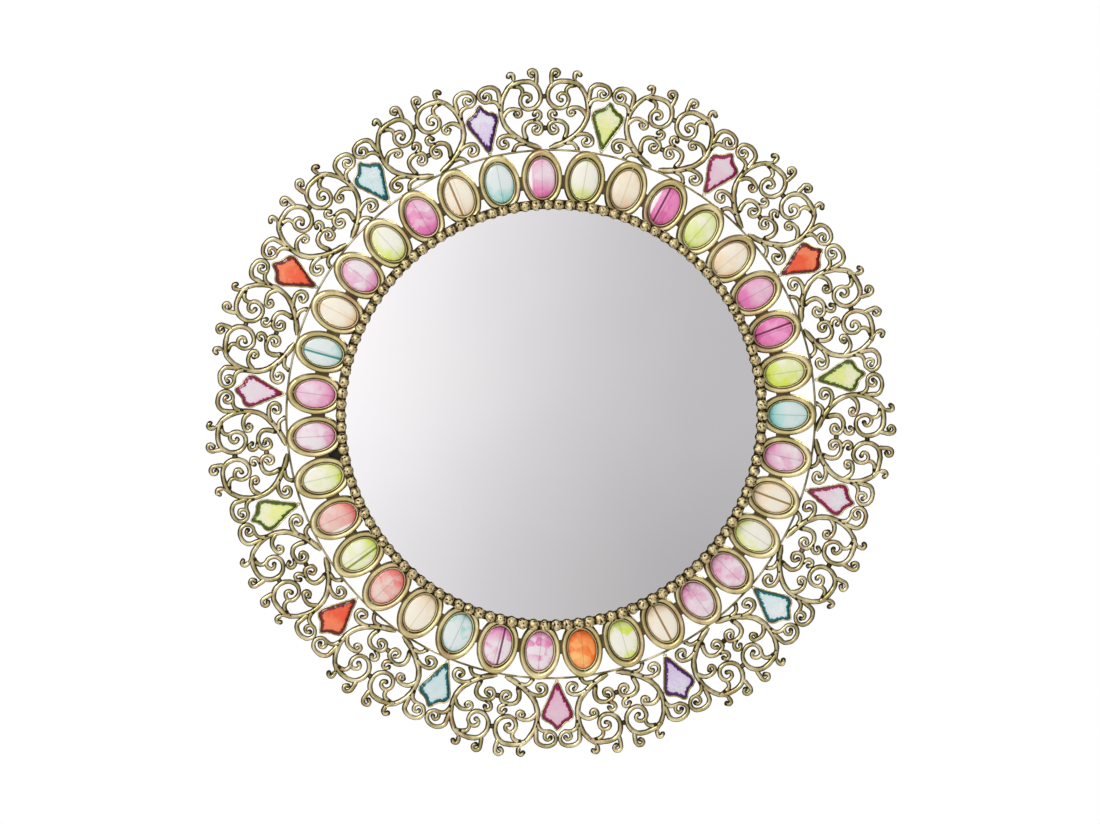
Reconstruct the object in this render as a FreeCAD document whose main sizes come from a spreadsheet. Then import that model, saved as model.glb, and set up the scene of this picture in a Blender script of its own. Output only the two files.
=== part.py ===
"""Round wall mirror in a brass frame of scrolls, set with coloured glass stones.

The origin lies on the wall behind the mirror's centre: +Z is up, +X is to the right as the
viewer sees it, and the mirror faces -Y. Depths are measured from the wall, towards -Y.
Around the mirror, angles run clockwise from the top as the viewer sees them.
"""
import FreeCAD, Part
import math
import os
import re
import Sketcher

V = FreeCAD.Vector
CENTRE = V(0, 0, 0)
X_AXIS = V(1, 0, 0)
Y_AXIS = V(0, 1, 0)
FACING = FreeCAD.Rotation(X_AXIS, 90)

# Driving sizes in millimetres, angles in degrees
SIZES = {
    "glass_radius": 245.0,
    "glass_thickness": 4.0,
    "glass_play": 0.5,
    "tray_sheet": 1.5,
    "lip_overlap": 8.0,
    "board_thickness": 6.0,
    "bead_diameter": 12.6,
    "bead_gap": 0.25,
    "bead_flat": 1.7,
    "setting_length": 66.6,
    "setting_width": 45.6,
    "setting_reach": 58.5,
    "setting_gap": 2.9,
    "setting_seat": 0.1,
    "opening_length": 45.4,
    "opening_width": 32.0,
    "setting_depth": 8.0,
    "setting_round": 2.2,
    "setting_clear": 1.0,
    "setting_turn": -1.1,
    "stone_play": 0.8,
    "stone_thickness": 7.0,
    "stone_facet": 2.0,
    "pin_diameter": 1.4,
    "pin_play": 0.1,
    "pin_inset": 2.0,
    "solder_length": 16.0,
    "solder_depth": 5.0,
    "solder_inset": 4.5,
    "wire_diameter": 2.5,
    "wire_inset": 1.5,
    "scroll_height": 96.0,
    "stem_bar": 5.2,
    "ring_bar": 4.6,
    "curl_bar": 4.0,
    "eye_disc": 5.2,
    "collar_disc": 6.4,
    "scroll_sheet": 4.3,
    "scroll_clear": 0.1,
    "kite_gap": 0.4,
    "kite_play": 0.2,
    "kite_wire": 1.8,
    "kite_depth": 3.0,
    "kite_eyelet": 4.8,
    "kite_thickness": 5.0,
    "kite_bevel": 2.2,
    "tab_width": 24.0,
    "tab_reach": 20.0,
    "tab_sheet": 2.0,
    "bumper_diameter": 14.0,
    "bumper_height": 9.0,
    "bumper_taper": 1.0,
    "clip_width": 14.0,
    "clip_length": 26.0,
    "clip_sheet": 1.2,
    "clip_hole_inset": 18.2,
    "clip_turn": 51.8,
    "screw_diameter": 3.5,
    "screw_play": 0.2,
    "screw_head": 6.8,
    "screw_head_height": 2.0,
    "screw_bite": 5.0,
    "strap_width": 16.0,
    "strap_length": 40.0,
    "strap_sheet": 1.2,
    "strap_hole_pitch": 18.0,
    "strap_hole_end": 8.0,
    "hinge_wall": 1.5,
    "hinge_width": 14.0,
    "hinge_play": 0.1,
    "loop_wire": 3.0,
    "loop_width": 25.0,
    "loop_height": 20.0,
    "loop_corner": 3.5,
    "loop_rest_gap": 0.3,
    "hanger_spread": 140.0,
    "hanger_rise": 110.0,
}
CLIP_COUNT = 6

# Where the tabs stand, in steps of the oval ring: two behind an oval and one in a gap
TAB_STEPS = (2.0, 14.0, 25.5)

# Stone colours, clockwise from the top
OVAL_COLOURS = (
    "pink", "lime", "cream", "magenta", "lime", "cream", "pink",
    "magenta", "lime", "aqua", "pink", "cream", "lime", "pink",
    "pink", "cream", "lime", "orange", "pink", "pink", "aqua",
    "cream", "salmon", "lime", "salmon", "lime", "pink", "pink",
    "aqua", "cream", "pink", "lime", "pink", "cream", "aqua",
)
KITE_COLOURS = (
    "lime", "pink", "orange", "lime", "pink", "teal", "violet", "pink",
    "teal", "orange", "lime", "pink", "orange", "teal", "violet",
)

# The right half of one scroll panel, drawn 96 mm high above the ring wire. Each bar runs
# through points (across, outward, heading in degrees), joined by pairs of tangent arcs.
DRAWN_HEIGHT = 96.0
STEM_FLANK = (50.0, 38.0)
SHOULDER_REACH = (75.9, 64.0)
SCROLL_BARS = {
    "stem": ("stem_bar", [(7.5, 3.9, 14), (39.0, 20.5, 43), (50.0, 47.5, 90), (43.0, 70.5, 124),
                          (35.2, 83.0, 96)]),
    "stem_hook": ("curl_bar", [(35.6, 80.5, 100), (38.3, 89.0, 0), (41.2, 86.0, 270)]),
    "ring": ("ring_bar", [(44.5, 68.5, 122), (20.0, 79.2, 180), (4.0, 62.0, 270), (18.0, 47.4, 0),
                          (27.7, 58.0, 90), (21.5, 65.2, 180), (15.6, 60.5, 270), (19.2, 56.8, 0)]),
    "ring_leaf": ("curl_bar", [(38.0, 73.6, 170), (25.2, 67.0, 270), (27.4, 60.0, 285)]),
    "side_curl": ("curl_bar", [(47.6, 37.0, 100), (36.0, 48.1, 180), (26.8, 43.0, 270), (30.5, 39.2, 0),
                               (33.6, 42.3, 90)]),
    "heart": ("curl_bar", [(20.5, 9.5, 70), (24.9, 24.0, 90), (14.0, 33.3, 180), (3.8, 26.0, 270),
                           (9.2, 19.2, 0), (14.0, 23.2, 90), (10.6, 26.6, 180)]),
    "heart_curl": ("curl_bar", [(14.5, 33.0, 160), (4.7, 40.5, 90), (8.4, 44.6, 0), (12.0, 41.0, 270)]),
    "foot_curl": ("curl_bar", [(30.0, 13.6, 30), (43.5, 17.4, 0), (54.2, 9.5, 270), (48.5, 3.3, 180),
                               (43.0, 7.3, 90), (46.3, 10.6, 0)]),
    "foot_hook": ("curl_bar", [(19.0, 7.6, 15), (28.0, 8.0, 0), (35.6, 2.0, 280)]),
    "shoulder_curl": ("curl_bar", [(50.0, 50.0, 89), (52.6, 66.5, 82), (63.0, 74.0, 0), (75.9, 64.0, 270),
                                   (67.2, 56.0, 180), (62.0, 61.8, 90), (65.8, 66.2, 0),
                                   (69.0, 62.8, 270)]),
    "shoulder_leaf": ("curl_bar", [(50.3, 45.0, 84), (60.0, 57.0, 0), (66.5, 56.0, 350)]),
    "crest_curl": ("curl_bar", [(9.5, 75.5, 98), (8.6, 87.0, 90), (13.2, 93.0, 0), (17.3, 88.9, 270),
                                (14.2, 85.7, 180)]),
}
PLAIN_ENDED_BARS = ("stem", "ring_leaf", "shoulder_leaf")
COLLAR_HEIGHTS = (62.0, 25.6)

# Corners of a kite stone: share of its half width, and height on the drawn panel
KITE_SHOULDER = (1.0, 39.5)
KITE_CROWN = (0.82, 47.0)
KITE_APEX = 61.0

# Derived sizes, written as expressions of the sheet's names
TRAY_INNER = "(glass_radius + glass_play)"
TRAY_OUTER = f"({TRAY_INNER} + tray_sheet)"
LIP_INNER = "(glass_radius - lip_overlap)"
GLASS_BACK = "(bumper_height + board_thickness)"
LIP_BACK = f"({GLASS_BACK} + glass_thickness)"
LIP_FRONT = f"({LIP_BACK} + tray_sheet)"
BEAD_CIRCLE = f"(({LIP_INNER} + {TRAY_OUTER}) / 2)"
BEAD_DEPTH = f"({LIP_FRONT} + bead_diameter / 2 - bead_flat)"
BEAD_COUNT = f"floor(2 * pi * {BEAD_CIRCLE} / (bead_diameter + bead_gap))"
SETTING_END = f"({TRAY_OUTER} + setting_reach)"
SETTING_CIRCLE = f"({SETTING_END} - setting_length / 2)"
SETTING_SEAT = f"({TRAY_OUTER} + setting_seat)"
SETTING_BACK = "(bumper_height + tab_sheet + setting_clear)"
SETTING_COUNT = f"floor(2 * pi * {SETTING_CIRCLE} / (setting_width + setting_gap))"
WIRE_CIRCLE = f"({SETTING_END} - wire_inset)"
LACE_DEPTH = f"({SETTING_BACK} - wire_diameter / 2)"
SCROLL_BACK = f"({SETTING_BACK} - scroll_clear - scroll_sheet)"
SCROLL_SCALE = f"(scroll_height / {DRAWN_HEIGHT})"
PANEL_COUNT = (
    f"floor(180deg / atan(({SHOULDER_REACH[0]} * {SCROLL_SCALE} + curl_bar / 2)"
    f" / ({WIRE_CIRCLE} + {SHOULDER_REACH[1]} * {SCROLL_SCALE})))"
)
KITE_SPACE = (
    f"(({WIRE_CIRCLE} + {STEM_FLANK[1]} * {SCROLL_SCALE}) * sin(180deg / {PANEL_COUNT})"
    f" - ({STEM_FLANK[0]} * {SCROLL_SCALE} + stem_bar / 2) * cos(180deg / {PANEL_COUNT}))"
)
KITE_BORDER = "(kite_play + kite_wire)"
KITE_HALF_WIDTH = f"({KITE_SPACE} - kite_gap - {KITE_BORDER})"
EYELET_CENTRE = f"({WIRE_CIRCLE} + wire_diameter / 2 + kite_eyelet / 2)"
KITE_TIP = f"({EYELET_CENTRE} + {KITE_BORDER} + kite_eyelet / 4)"
PIVOT_DEPTH = "(bumper_height - loop_wire / 2 - hinge_play - hinge_wall)"
CLIP_SCREW_CIRCLE = f"({TRAY_OUTER} - clip_hole_inset)"

os.makedirs("parts", exist_ok=True)
doc = FreeCAD.newDocument("framed_mirror")
sheet = doc.addObject("Spreadsheet::Sheet", "Sizes")
for row, (alias, number) in enumerate(SIZES.items(), start=1):
    sheet.set(f"A{row}", alias)
    sheet.set(f"B{row}", str(number))
    sheet.setAlias(f"B{row}", alias)
doc.recompute()


def sized(text):
    """Point every size named in an expression at the sheet."""
    return re.sub(r"[a-z_]+", lambda word: f"Sizes.{word[0]}" if word[0] in SIZES else word[0], text)


def value(text):
    """The number that an expression of sizes gives now."""
    return float(sheet.evalExpression(sized(text)))


def bind(item, **expressions):
    """Tie an object's properties to sizes, with a double underscore for a dot."""
    for name, text in expressions.items():
        item.setExpression(name.replace("__", "."), sized(text))


def new_body(name):
    return doc.addObject("PartDesign::Body", name)


def new_sketch(body, name, role):
    """A sketch on one of a body's own planes: XZ_Plane faces the viewer."""
    sketch = body.newObject("Sketcher::SketchObject", name)
    plane = next(item for item in body.Origin.OriginFeatures if item.Role == role)
    sketch.AttachmentSupport = [(plane, "")]
    sketch.MapMode = "FlatFace"
    return sketch


def dimension(sketch, kind, references, text):
    """One driving dimension of a sketch, tied to sizes."""
    index = sketch.addConstraint(Sketcher.Constraint(kind, *references, value(text)))
    sketch.setExpression(f"Constraints[{index}]", sized(text))


def locate(sketch, geometry, point, across, up):
    """Hold a sketch point at a distance from the sketch's origin on each axis."""
    for kind, axis, text in (("DistanceX", -2, across), ("DistanceY", -1, up)):
        distance = value(text)
        if abs(distance) < 1e-9:
            sketch.addConstraint(Sketcher.Constraint("PointOnObject", geometry, point, axis))
        elif distance > 0:
            dimension(sketch, kind, (-1, 1, geometry, point), text)
        else:
            dimension(sketch, kind, (geometry, point, -1, 1), f"-({text})")


def outline(sketch, corners):
    """A closed outline of straight lines through corners given as pairs of expressions."""
    points = [V(value(across), value(up), 0) for across, up in corners]
    ends = points[1:] + points[:1]
    lines = [sketch.addGeometry(Part.LineSegment(a, b), False) for a, b in zip(points, ends)]
    for line, after in zip(lines, lines[1:] + lines[:1]):
        sketch.addConstraint(Sketcher.Constraint("Coincident", line, 2, after, 1))
    for line, (across, up) in zip(lines, corners):
        locate(sketch, line, 1, across, up)


def circle(sketch, radius, across="0", up="0"):
    """A circle of a sketch."""
    centre = V(value(across), value(up), 0)
    index = sketch.addGeometry(Part.Circle(centre, V(0, 0, 1), value(radius)), False)
    locate(sketch, index, 3, across, up)
    dimension(sketch, "Radius", (index,), radius)


def ellipse(sketch, half_length, half_width):
    """An upright ellipse about a sketch's origin."""
    tall = V(0, value(half_length), 0)
    wide = V(value(half_width), 0, 0)
    index = sketch.addGeometry(Part.Ellipse(tall, wide, CENTRE), False)
    sketch.exposeInternalGeometry(index)
    sketch.addConstraint(Sketcher.Constraint("Coincident", index, 3, -1, 1))
    sketch.addConstraint(Sketcher.Constraint("Vertical", index + 1))
    dimension(sketch, "Distance", (index + 1,), f"2 * ({half_length})")
    dimension(sketch, "Distance", (index + 2,), f"2 * ({half_width})")


def pad(body, sketch, length, reverse=False, both_ways=False):
    """Thicken a sketch towards the viewer, towards the wall, or both ways."""
    feature = body.newObject("PartDesign::Pad", f"{sketch.Name}Pad")
    feature.Profile = sketch
    feature.Reversed = reverse
    feature.Midplane = both_ways
    bind(feature, Length=length)
    doc.recompute()
    return feature


def drill(body, sketch):
    """Cut a sketch's circles right through the body, and return the cut."""
    before = body.Shape.Volume
    feature = body.newObject("PartDesign::Pocket", f"{sketch.Name}Hole")
    feature.Profile = sketch
    feature.Type = "ThroughAll"
    feature.Midplane = True
    doc.recompute()
    if body.Shape.Volume >= before:
        raise ValueError(f"{sketch.Name} cuts nothing")
    return feature


def edges_at_depth(feature, depths):
    """Names of a feature's straight and oval edges that lie wholly at one of the given depths."""
    names = []
    for number, edge in enumerate(feature.Shape.Edges, start=1):
        box = edge.BoundBox
        level = any(abs(box.YMin + depth) + abs(box.YMax + depth) < 1e-4 for depth in depths)
        if level and not isinstance(edge.Curve, Part.Circle):
            names.append(f"Edge{number}")
    return names


def soften(body, feature, kind, size_name, size, depths):
    """Round (Fillet) or bevel (Chamfer) a feature's straight and oval edges at the given depths."""
    softened = body.newObject(f"PartDesign::{kind}", f"{feature.Name}{kind}")
    softened.Base = (feature, edges_at_depth(feature, depths))
    bind(softened, **{size_name: size})
    doc.recompute()


def turned(shape, angle):
    """A copy of a shape, turned clockwise about the mirror's centre."""
    copy = shape.copy()
    copy.rotate(CENTRE, Y_AXIS, angle)
    return copy


def ring_of(shape, count, first_angle=0.0):
    """Copies of a shape, evenly spaced round the mirror."""
    return [turned(shape, first_angle + 360.0 * index / count) for index in range(count)]


def node_of(label, shape, placement=None):
    """A sub-part made from a ready shape."""
    item = doc.addObject("Part::Feature", label)
    item.Label = label
    item.Shape = shape
    item.Placement = placement or FreeCAD.Placement()
    nodes.append(item)
    return item


def group_of(label, solids):
    """A sub-part of several like solids."""
    return node_of(label, Part.makeCompound(solids))


def keep(item, label):
    """Hand a finished object in as a sub-part under its own name."""
    item.Label = label
    nodes.append(item)
    return item


nodes = []


def make_mirror_glass():
    """The silvered glass disc, which rests on the board and looks out through the lip."""
    body = new_body("MirrorGlass")
    face = new_sketch(body, "GlassFace", "XZ_Plane")
    circle(face, "glass_radius")
    pad(body, face, "glass_thickness")
    bind(body, Placement__Base__y=f"-{GLASS_BACK}")
    keep(body, "mirror_glass")


def make_mirror_tray():
    """The sheet-metal band round glass and board, with a lip over the glass's rim."""
    body = new_body("MirrorTray")
    section = new_sketch(body, "TraySection", "XY_Plane")
    outline(section, [
        (TRAY_INNER, "-bumper_height"), (TRAY_OUTER, "-bumper_height"),
        (TRAY_OUTER, f"-{LIP_FRONT}"), (LIP_INNER, f"-{LIP_FRONT}"),
        (LIP_INNER, f"-{LIP_BACK}"), (TRAY_INNER, f"-{LIP_BACK}"),
    ])
    turn = body.newObject("PartDesign::Revolution", "TrayTurn")
    turn.Profile = section
    turn.ReferenceAxis = (section, ["V_Axis"])
    turn.Angle = 360
    keep(body, "mirror_tray")


def make_beads():
    """The round beads that sit on the lip, each with a soldered flat behind."""
    bead = doc.addObject("Part::Sphere", "Bead")
    bind(bead, Radius="bead_diameter / 2", Placement__Base__y=f"-{BEAD_DEPTH}",
         Placement__Base__z=BEAD_CIRCLE, Angle1="-asin(1 - 2 * bead_flat / bead_diameter)")
    bead.Placement.Rotation = FACING
    doc.recompute()
    group_of("rim_beads", ring_of(bead.Shape, int(value(BEAD_COUNT))))


def make_oval_settings():
    """The oval rings round the mirror, cut to the tray and drilled at both ends for the stone's pin."""
    body = new_body("OvalSetting")
    face = new_sketch(body, "SettingFace", "XZ_Plane")
    ellipse(face, "setting_length / 2", "setting_width / 2")
    ellipse(face, "opening_length / 2", "opening_width / 2")
    pad(body, face, "setting_depth")
    seat = new_sketch(body, "SettingSeat", "XZ_Plane")
    circle(seat, SETTING_SEAT, up=f"-{SETTING_CIRCLE}")
    blank = drill(body, seat)
    soften(body, blank, "Fillet", "Radius", "setting_round", [value("setting_depth")])
    holes = new_sketch(body, "SettingPinHole", "XY_Plane")
    circle(holes, "pin_diameter / 2", up="-setting_depth / 2")
    drill(body, holes)
    bind(body, Placement__Base__y=f"-{SETTING_BACK}", Placement__Base__z=SETTING_CIRCLE)
    doc.recompute()
    count = int(value(SETTING_COUNT))
    group_of("oval_settings", ring_of(body.Shape, count, value("setting_turn")))


def make_stone_pins():
    """The pins that run the length of each oval setting and carry its stone."""
    pin = doc.addObject("Part::Cylinder", "StonePin")
    bind(pin, Radius="pin_diameter / 2", Height="setting_reach - setting_seat - pin_inset",
         Placement__Base__y=f"-({SETTING_BACK} + setting_depth / 2)",
         Placement__Base__z=SETTING_SEAT)
    doc.recompute()
    count = int(value(SETTING_COUNT))
    group_of("stone_pins", ring_of(pin.Shape, count, value("setting_turn")))


def make_oval_stones():
    """The faceted oval stones, one sub-part for each colour."""
    body = new_body("OvalStone")
    face = new_sketch(body, "StoneFace", "XZ_Plane")
    ellipse(face, "opening_length / 2 - stone_play", "opening_width / 2 - stone_play")
    blank = pad(body, face, "stone_thickness", both_ways=True)
    half = value("stone_thickness / 2")
    soften(body, blank, "Chamfer", "Size", "stone_facet", [half, -half])
    bore = new_sketch(body, "StoneBore", "XY_Plane")
    circle(bore, "pin_diameter / 2 + pin_play")
    drill(body, bore)
    bind(body, Placement__Base__y=f"-({SETTING_BACK} + setting_depth / 2)",
         Placement__Base__z=SETTING_CIRCLE)
    doc.recompute()
    stones = ring_of(body.Shape, int(value(SETTING_COUNT)), value("setting_turn"))
    group_by_colour("oval_stones", stones, OVAL_COLOURS)


def group_by_colour(name, stones, colours):
    """One sub-part for each colour of a ring of stones."""
    for colour in sorted(set(colours)):
        chosen = [stone for index, stone in enumerate(stones) if colours[index % len(colours)] == colour]
        if chosen:
            group_of(f"{name}_{colour}", chosen)


def make_setting_solder():
    """The solder that fills the narrow gaps between neighbouring oval settings."""
    count = int(value(SETTING_COUNT))
    circle_radius = value(SETTING_CIRCLE)
    half_step = 180.0 / count
    oval = Part.Ellipse(V(0, 0, value("setting_length / 2")), V(value("setting_width / 2"), 0, 0), CENTRE)
    blank = Part.Face(Part.Wire(oval.toShape())).extrude(V(0, -value("setting_depth"), 0))
    blank.translate(V(0, -value(SETTING_BACK), circle_radius))
    width = 2 * (circle_radius * math.sin(math.radians(half_step)) - value("setting_width / 2"))
    width += value("(setting_width - opening_width) / 2")
    length = value("solder_length")
    depth = value("solder_depth")
    back = value(f"{SETTING_BACK} + (setting_depth - setting_round - solder_depth) / 2")
    foot = circle_radius - value("solder_inset") - length / 2
    block = Part.makeBox(width, depth, length, V(-width / 2, -back - depth, foot))
    bridge = block.cut(Part.makeCompound([turned(blank, -half_step), turned(blank, half_step)]))
    group_of("setting_solder", ring_of(bridge, count, value("setting_turn") + half_step))


def make_ring_wire():
    """The round wire behind the outer ends of the oval settings, which carries the scrolls."""
    wire = doc.addObject("Part::Torus", "RingWire")
    bind(wire, Radius1=WIRE_CIRCLE, Radius2="wire_diameter / 2", Placement__Base__y=f"-{LACE_DEPTH}")
    wire.Placement.Rotation = FACING
    keep(wire, "ring_wire")


def joint_of_biarc(start, end):
    """The point where two tangent arcs between two headed points meet."""
    first = math.radians(start[2])
    last = math.radians(end[2])
    leave = V(math.cos(first), 0, math.sin(first))
    arrive = V(math.cos(last), 0, math.sin(last))
    span = V(end[0] - start[0], 0, end[1] - start[1])
    along = span.dot(leave + arrive)
    bend = 2 * (1 - leave.dot(arrive))
    if bend < 1e-9:
        reach = span.dot(span) / (4 * span.dot(arrive))
    else:
        reach = (math.sqrt(along ** 2 + bend * span.dot(span)) - along) / bend
    middle = V((start[0] + end[0]) / 2, 0, (start[1] + end[1]) / 2)
    return middle + (leave - arrive) * (reach / 2)


def turn_towards(start, heading, end):
    """Half the angle that an arc leaving start on a heading turns by to reach end, in radians."""
    span = end - start
    return math.remainder(math.atan2(span.z, span.x) - heading, 2 * math.pi)


def tangent_arc(start, heading, end):
    """An arc, or a line, that leaves start on a heading in radians and reaches end."""
    half_turn = turn_towards(start, heading, end)
    if abs(half_turn) < 1e-4:
        return Part.LineSegment(start, end).toShape()
    side = V(math.sin(heading + half_turn), 0, -math.cos(heading + half_turn))
    crown = (start + end) / 2 + side * ((end - start).Length / 2 * math.tan(half_turn / 2))
    return Part.Arc(start, crown, end).toShape()


def flat_face(edges):
    """A flat face inside a ring of edges, turned towards the viewer."""
    face = Part.Face(Part.Wire(Part.__sortEdges__(edges)))
    if face.normalAt(0, 0).y > 0:
        face.reverse()
    return face


def flat_disc(centre, diameter):
    """A round flat face."""
    return flat_face([Part.Circle(centre, Y_AXIS, diameter / 2).toShape()])


def flat_strip(start, heading, end, width):
    """A flat strip of even width that bends from start to end; and the heading it ends on."""
    last = heading + 2 * turn_towards(start, heading, end)
    flank = V(-math.sin(heading), 0, math.cos(heading)) * (width / 2)
    last_flank = V(-math.sin(last), 0, math.cos(last)) * (width / 2)
    edges = [
        tangent_arc(start + flank, heading, end + last_flank),
        Part.LineSegment(end + last_flank, end - last_flank).toShape(),
        tangent_arc(start - flank, heading, end - last_flank),
        Part.LineSegment(start - flank, start + flank).toShape(),
    ]
    return flat_face(edges), last


def scroll_bar(points, width, end_width, scale, base):
    """The flat faces of one scrolled bar, rounded at its root and at its end."""
    faces = [flat_disc(base + V(points[0][0], 0, points[0][1]) * scale, width)]
    for start, end in zip(points, points[1:]):
        place = base + V(start[0], 0, start[1]) * scale
        meeting = base + joint_of_biarc(start, end) * scale
        arrival = base + V(end[0], 0, end[1]) * scale
        first, heading = flat_strip(place, math.radians(start[2]), meeting, width)
        last, heading = flat_strip(meeting, heading, arrival, width)
        faces += [first, last]
    faces.append(flat_disc(arrival, end_width))
    return faces


def make_scroll_panels():
    """The cast panels of scrolls round the frame: two mirrored halves, joined by two collars."""
    scale = value(SCROLL_SCALE)
    base = V(0, 0, value(WIRE_CIRCLE))
    collar = value("collar_disc")
    faces = [flat_disc(base + V(0, 0, height * scale), collar) for height in COLLAR_HEIGHTS]
    for name, (bar_size, points) in SCROLL_BARS.items():
        width = value(bar_size)
        end_width = width if name in PLAIN_ENDED_BARS else value("eye_disc")
        opposite = [(-across, outward, 180 - heading) for across, outward, heading in points]
        for half in (points, opposite):
            faces += scroll_bar(half, width, end_width, scale, base)
    drawing = faces[0].multiFuse(faces[1:]).removeSplitter()
    if len(drawing.Faces) != 1:
        raise ValueError("the scroll panel falls apart")
    panel = drawing.Faces[0].extrude(V(0, -value("scroll_sheet"), 0))
    count = int(value(PANEL_COUNT))
    for index in range(count):
        turn = FreeCAD.Rotation(Y_AXIS, 360.0 * index / count)
        node_of(f"scroll_panel_{index + 1:02d}", panel,
                FreeCAD.Placement(V(0, -value(SCROLL_BACK), 0), turn))


def make_kites():
    """The kite-shaped stones between the panels, and the bent-wire frames that hold them."""
    stone = new_body("KiteStone")
    face = new_sketch(stone, "KiteFace", "XZ_Plane")
    right, left = [], []
    for share, height in (KITE_SHOULDER, KITE_CROWN):
        up = f"({WIRE_CIRCLE} + {height} * {SCROLL_SCALE})"
        right.append((f"{share} * {KITE_HALF_WIDTH}", up))
        left.insert(0, (f"-{share} * {KITE_HALF_WIDTH}", up))
    apex = ("0", f"({WIRE_CIRCLE} + {KITE_APEX} * {SCROLL_SCALE})")
    outline(face, [("0", KITE_TIP), *right, apex, *left])
    blank = pad(stone, face, "kite_thickness", both_ways=True)
    half = value("kite_thickness / 2")
    soften(stone, blank, "Chamfer", "Size", "kite_bevel", [half])

    plates = []
    for name, inset in (("KiteInside", "kite_play"), ("KiteOutside", KITE_BORDER)):
        edge = doc.addObject("Part::Offset2D", f"{name}Edge")
        edge.Source = face
        edge.Join = "Arc"
        bind(edge, Value=inset)
        plate = doc.addObject("Part::Extrusion", name)
        plate.Base = edge
        plate.DirMode = "Normal"
        plate.Solid = True
        plate.Symmetric = True
        bind(plate, LengthFwd="kite_depth")
        plates.append(plate)
    border = doc.addObject("Part::Cut", "KiteBorder")
    border.Base = plates[1]
    border.Tool = plates[0]
    eyelet = doc.addObject("Part::Sphere", "KiteEyelet")
    bind(eyelet, Radius="kite_eyelet / 2", Placement__Base__z=EYELET_CENTRE)
    frame = doc.addObject("Part::Fuse", "KiteFrame")
    frame.Base = border
    frame.Tool = eyelet
    doc.recompute()

    count = int(value(PANEL_COUNT))
    forward = V(0, -value(LACE_DEPTH), 0)
    stones = []
    for index in range(count):
        angle = 360.0 * (index + 0.5) / count
        place = FreeCAD.Placement(forward, FreeCAD.Rotation(Y_AXIS, angle))
        node_of(f"kite_setting_{index + 1:02d}", frame.Shape, place)
        loose = stone.Shape.copy()
        loose.translate(forward)
        stones.append(turned(loose, angle))
    group_by_colour("kite_stones", stones, KITE_COLOURS)


def make_bumpers():
    """The tabs on the tray's outside and the rubber bumpers that keep the frame off the wall."""
    plate = doc.addObject("Part::Box", "TabPlate")
    bind(plate, Length="tab_width", Width="tab_sheet", Height=f"tab_reach + {TRAY_OUTER}",
         Placement__Base__x="-tab_width / 2", Placement__Base__y="-(bumper_height + tab_sheet)")
    round_edge = doc.addObject("Part::Cylinder", "TabSeat")
    bind(round_edge, Radius=TRAY_OUTER, Height=LIP_FRONT)
    round_edge.Placement.Rotation = FACING
    tab = doc.addObject("Part::Cut", "Tab")
    tab.Base = plate
    tab.Tool = round_edge
    bumper = doc.addObject("Part::Cone", "Bumper")
    bind(bumper, Radius1="bumper_diameter / 2 - bumper_taper", Radius2="bumper_diameter / 2",
         Height="bumper_height", Placement__Base__z=f"{TRAY_OUTER} + tab_reach / 2")
    bumper.Placement.Rotation = FACING
    doc.recompute()
    step = 360.0 / int(value(SETTING_COUNT))
    angles = [value("setting_turn") + step * number for number in TAB_STEPS]
    group_of("bumper_tabs", [turned(tab.Shape, angle) for angle in angles])
    group_of("wall_bumpers", [turned(bumper.Shape, angle) for angle in angles])


def make_screw():
    """A pan-head wood screw that points at the viewer, its head seated at the origin."""
    body = new_body("WoodScrew")
    section = new_sketch(body, "ScrewSection", "XY_Plane")
    length = "(screw_bite + strap_sheet)"
    outline(section, [
        ("0", "screw_head_height"), ("screw_head / 2 - screw_head_height / 2", "screw_head_height"),
        ("screw_head / 2", "screw_head_height / 2"), ("screw_head / 2", "0"), ("screw_diameter / 2", "0"),
        ("screw_diameter / 2", f"-({length} - screw_diameter / 2)"), ("0", f"-{length}"),
    ])
    turn = body.newObject("PartDesign::Revolution", "ScrewTurn")
    turn.Profile = section
    turn.ReferenceAxis = (section, ["V_Axis"])
    turn.Angle = 360
    doc.recompute()
    return body.Shape


def moved(shape, x, y, z):
    """A copy of a shape, moved."""
    copy = shape.copy()
    copy.translate(V(x, y, z))
    return copy


def make_board(screw):
    """The backing board, the clips that hold it in the tray, and every screw in its back."""
    clip = new_body("BoardClip")
    face = new_sketch(clip, "ClipFace", "XZ_Plane")
    inner_end = f"({TRAY_OUTER} - clip_length)"
    outline(face, [
        ("-clip_width / 2", inner_end), ("clip_width / 2", inner_end),
        ("clip_width / 2", TRAY_OUTER), ("-clip_width / 2", TRAY_OUTER),
    ])
    pad(clip, face, "clip_sheet", reverse=True)
    hole = new_sketch(clip, "ClipHole", "XZ_Plane")
    circle(hole, "screw_diameter / 2 + screw_play", up=CLIP_SCREW_CIRCLE)
    drill(clip, hole)
    bind(clip, Placement__Base__y="-bumper_height")
    doc.recompute()
    first = value("clip_turn")
    group_of("board_clips", ring_of(clip.Shape, CLIP_COUNT, first))
    clip_screw = moved(screw, 0, -value("bumper_height - clip_sheet"), value(CLIP_SCREW_CIRCLE))
    clip_screws = group_of("clip_screws", ring_of(clip_screw, CLIP_COUNT, first))

    head_depth = value("bumper_height - strap_sheet")
    low = value("hanger_rise - strap_length + strap_hole_end")
    heights = (low, low + value("strap_hole_pitch"))
    hanger_screws = group_of("hanger_screws", [
        moved(screw, side * value("hanger_spread"), -head_depth, height)
        for side in (-1, 1) for height in heights
    ])

    disc = doc.addObject("Part::Cylinder", "BoardDisc")
    bind(disc, Radius="glass_radius", Height="board_thickness", Placement__Base__y="-bumper_height")
    disc.Placement.Rotation = FACING
    pilots = doc.addObject("Part::Compound", "PilotHoles")
    pilots.Links = [clip_screws, hanger_screws]
    board = doc.addObject("Part::Cut", "BackBoard")
    board.Base = disc
    board.Tool = pilots
    keep(board, "back_board")


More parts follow.
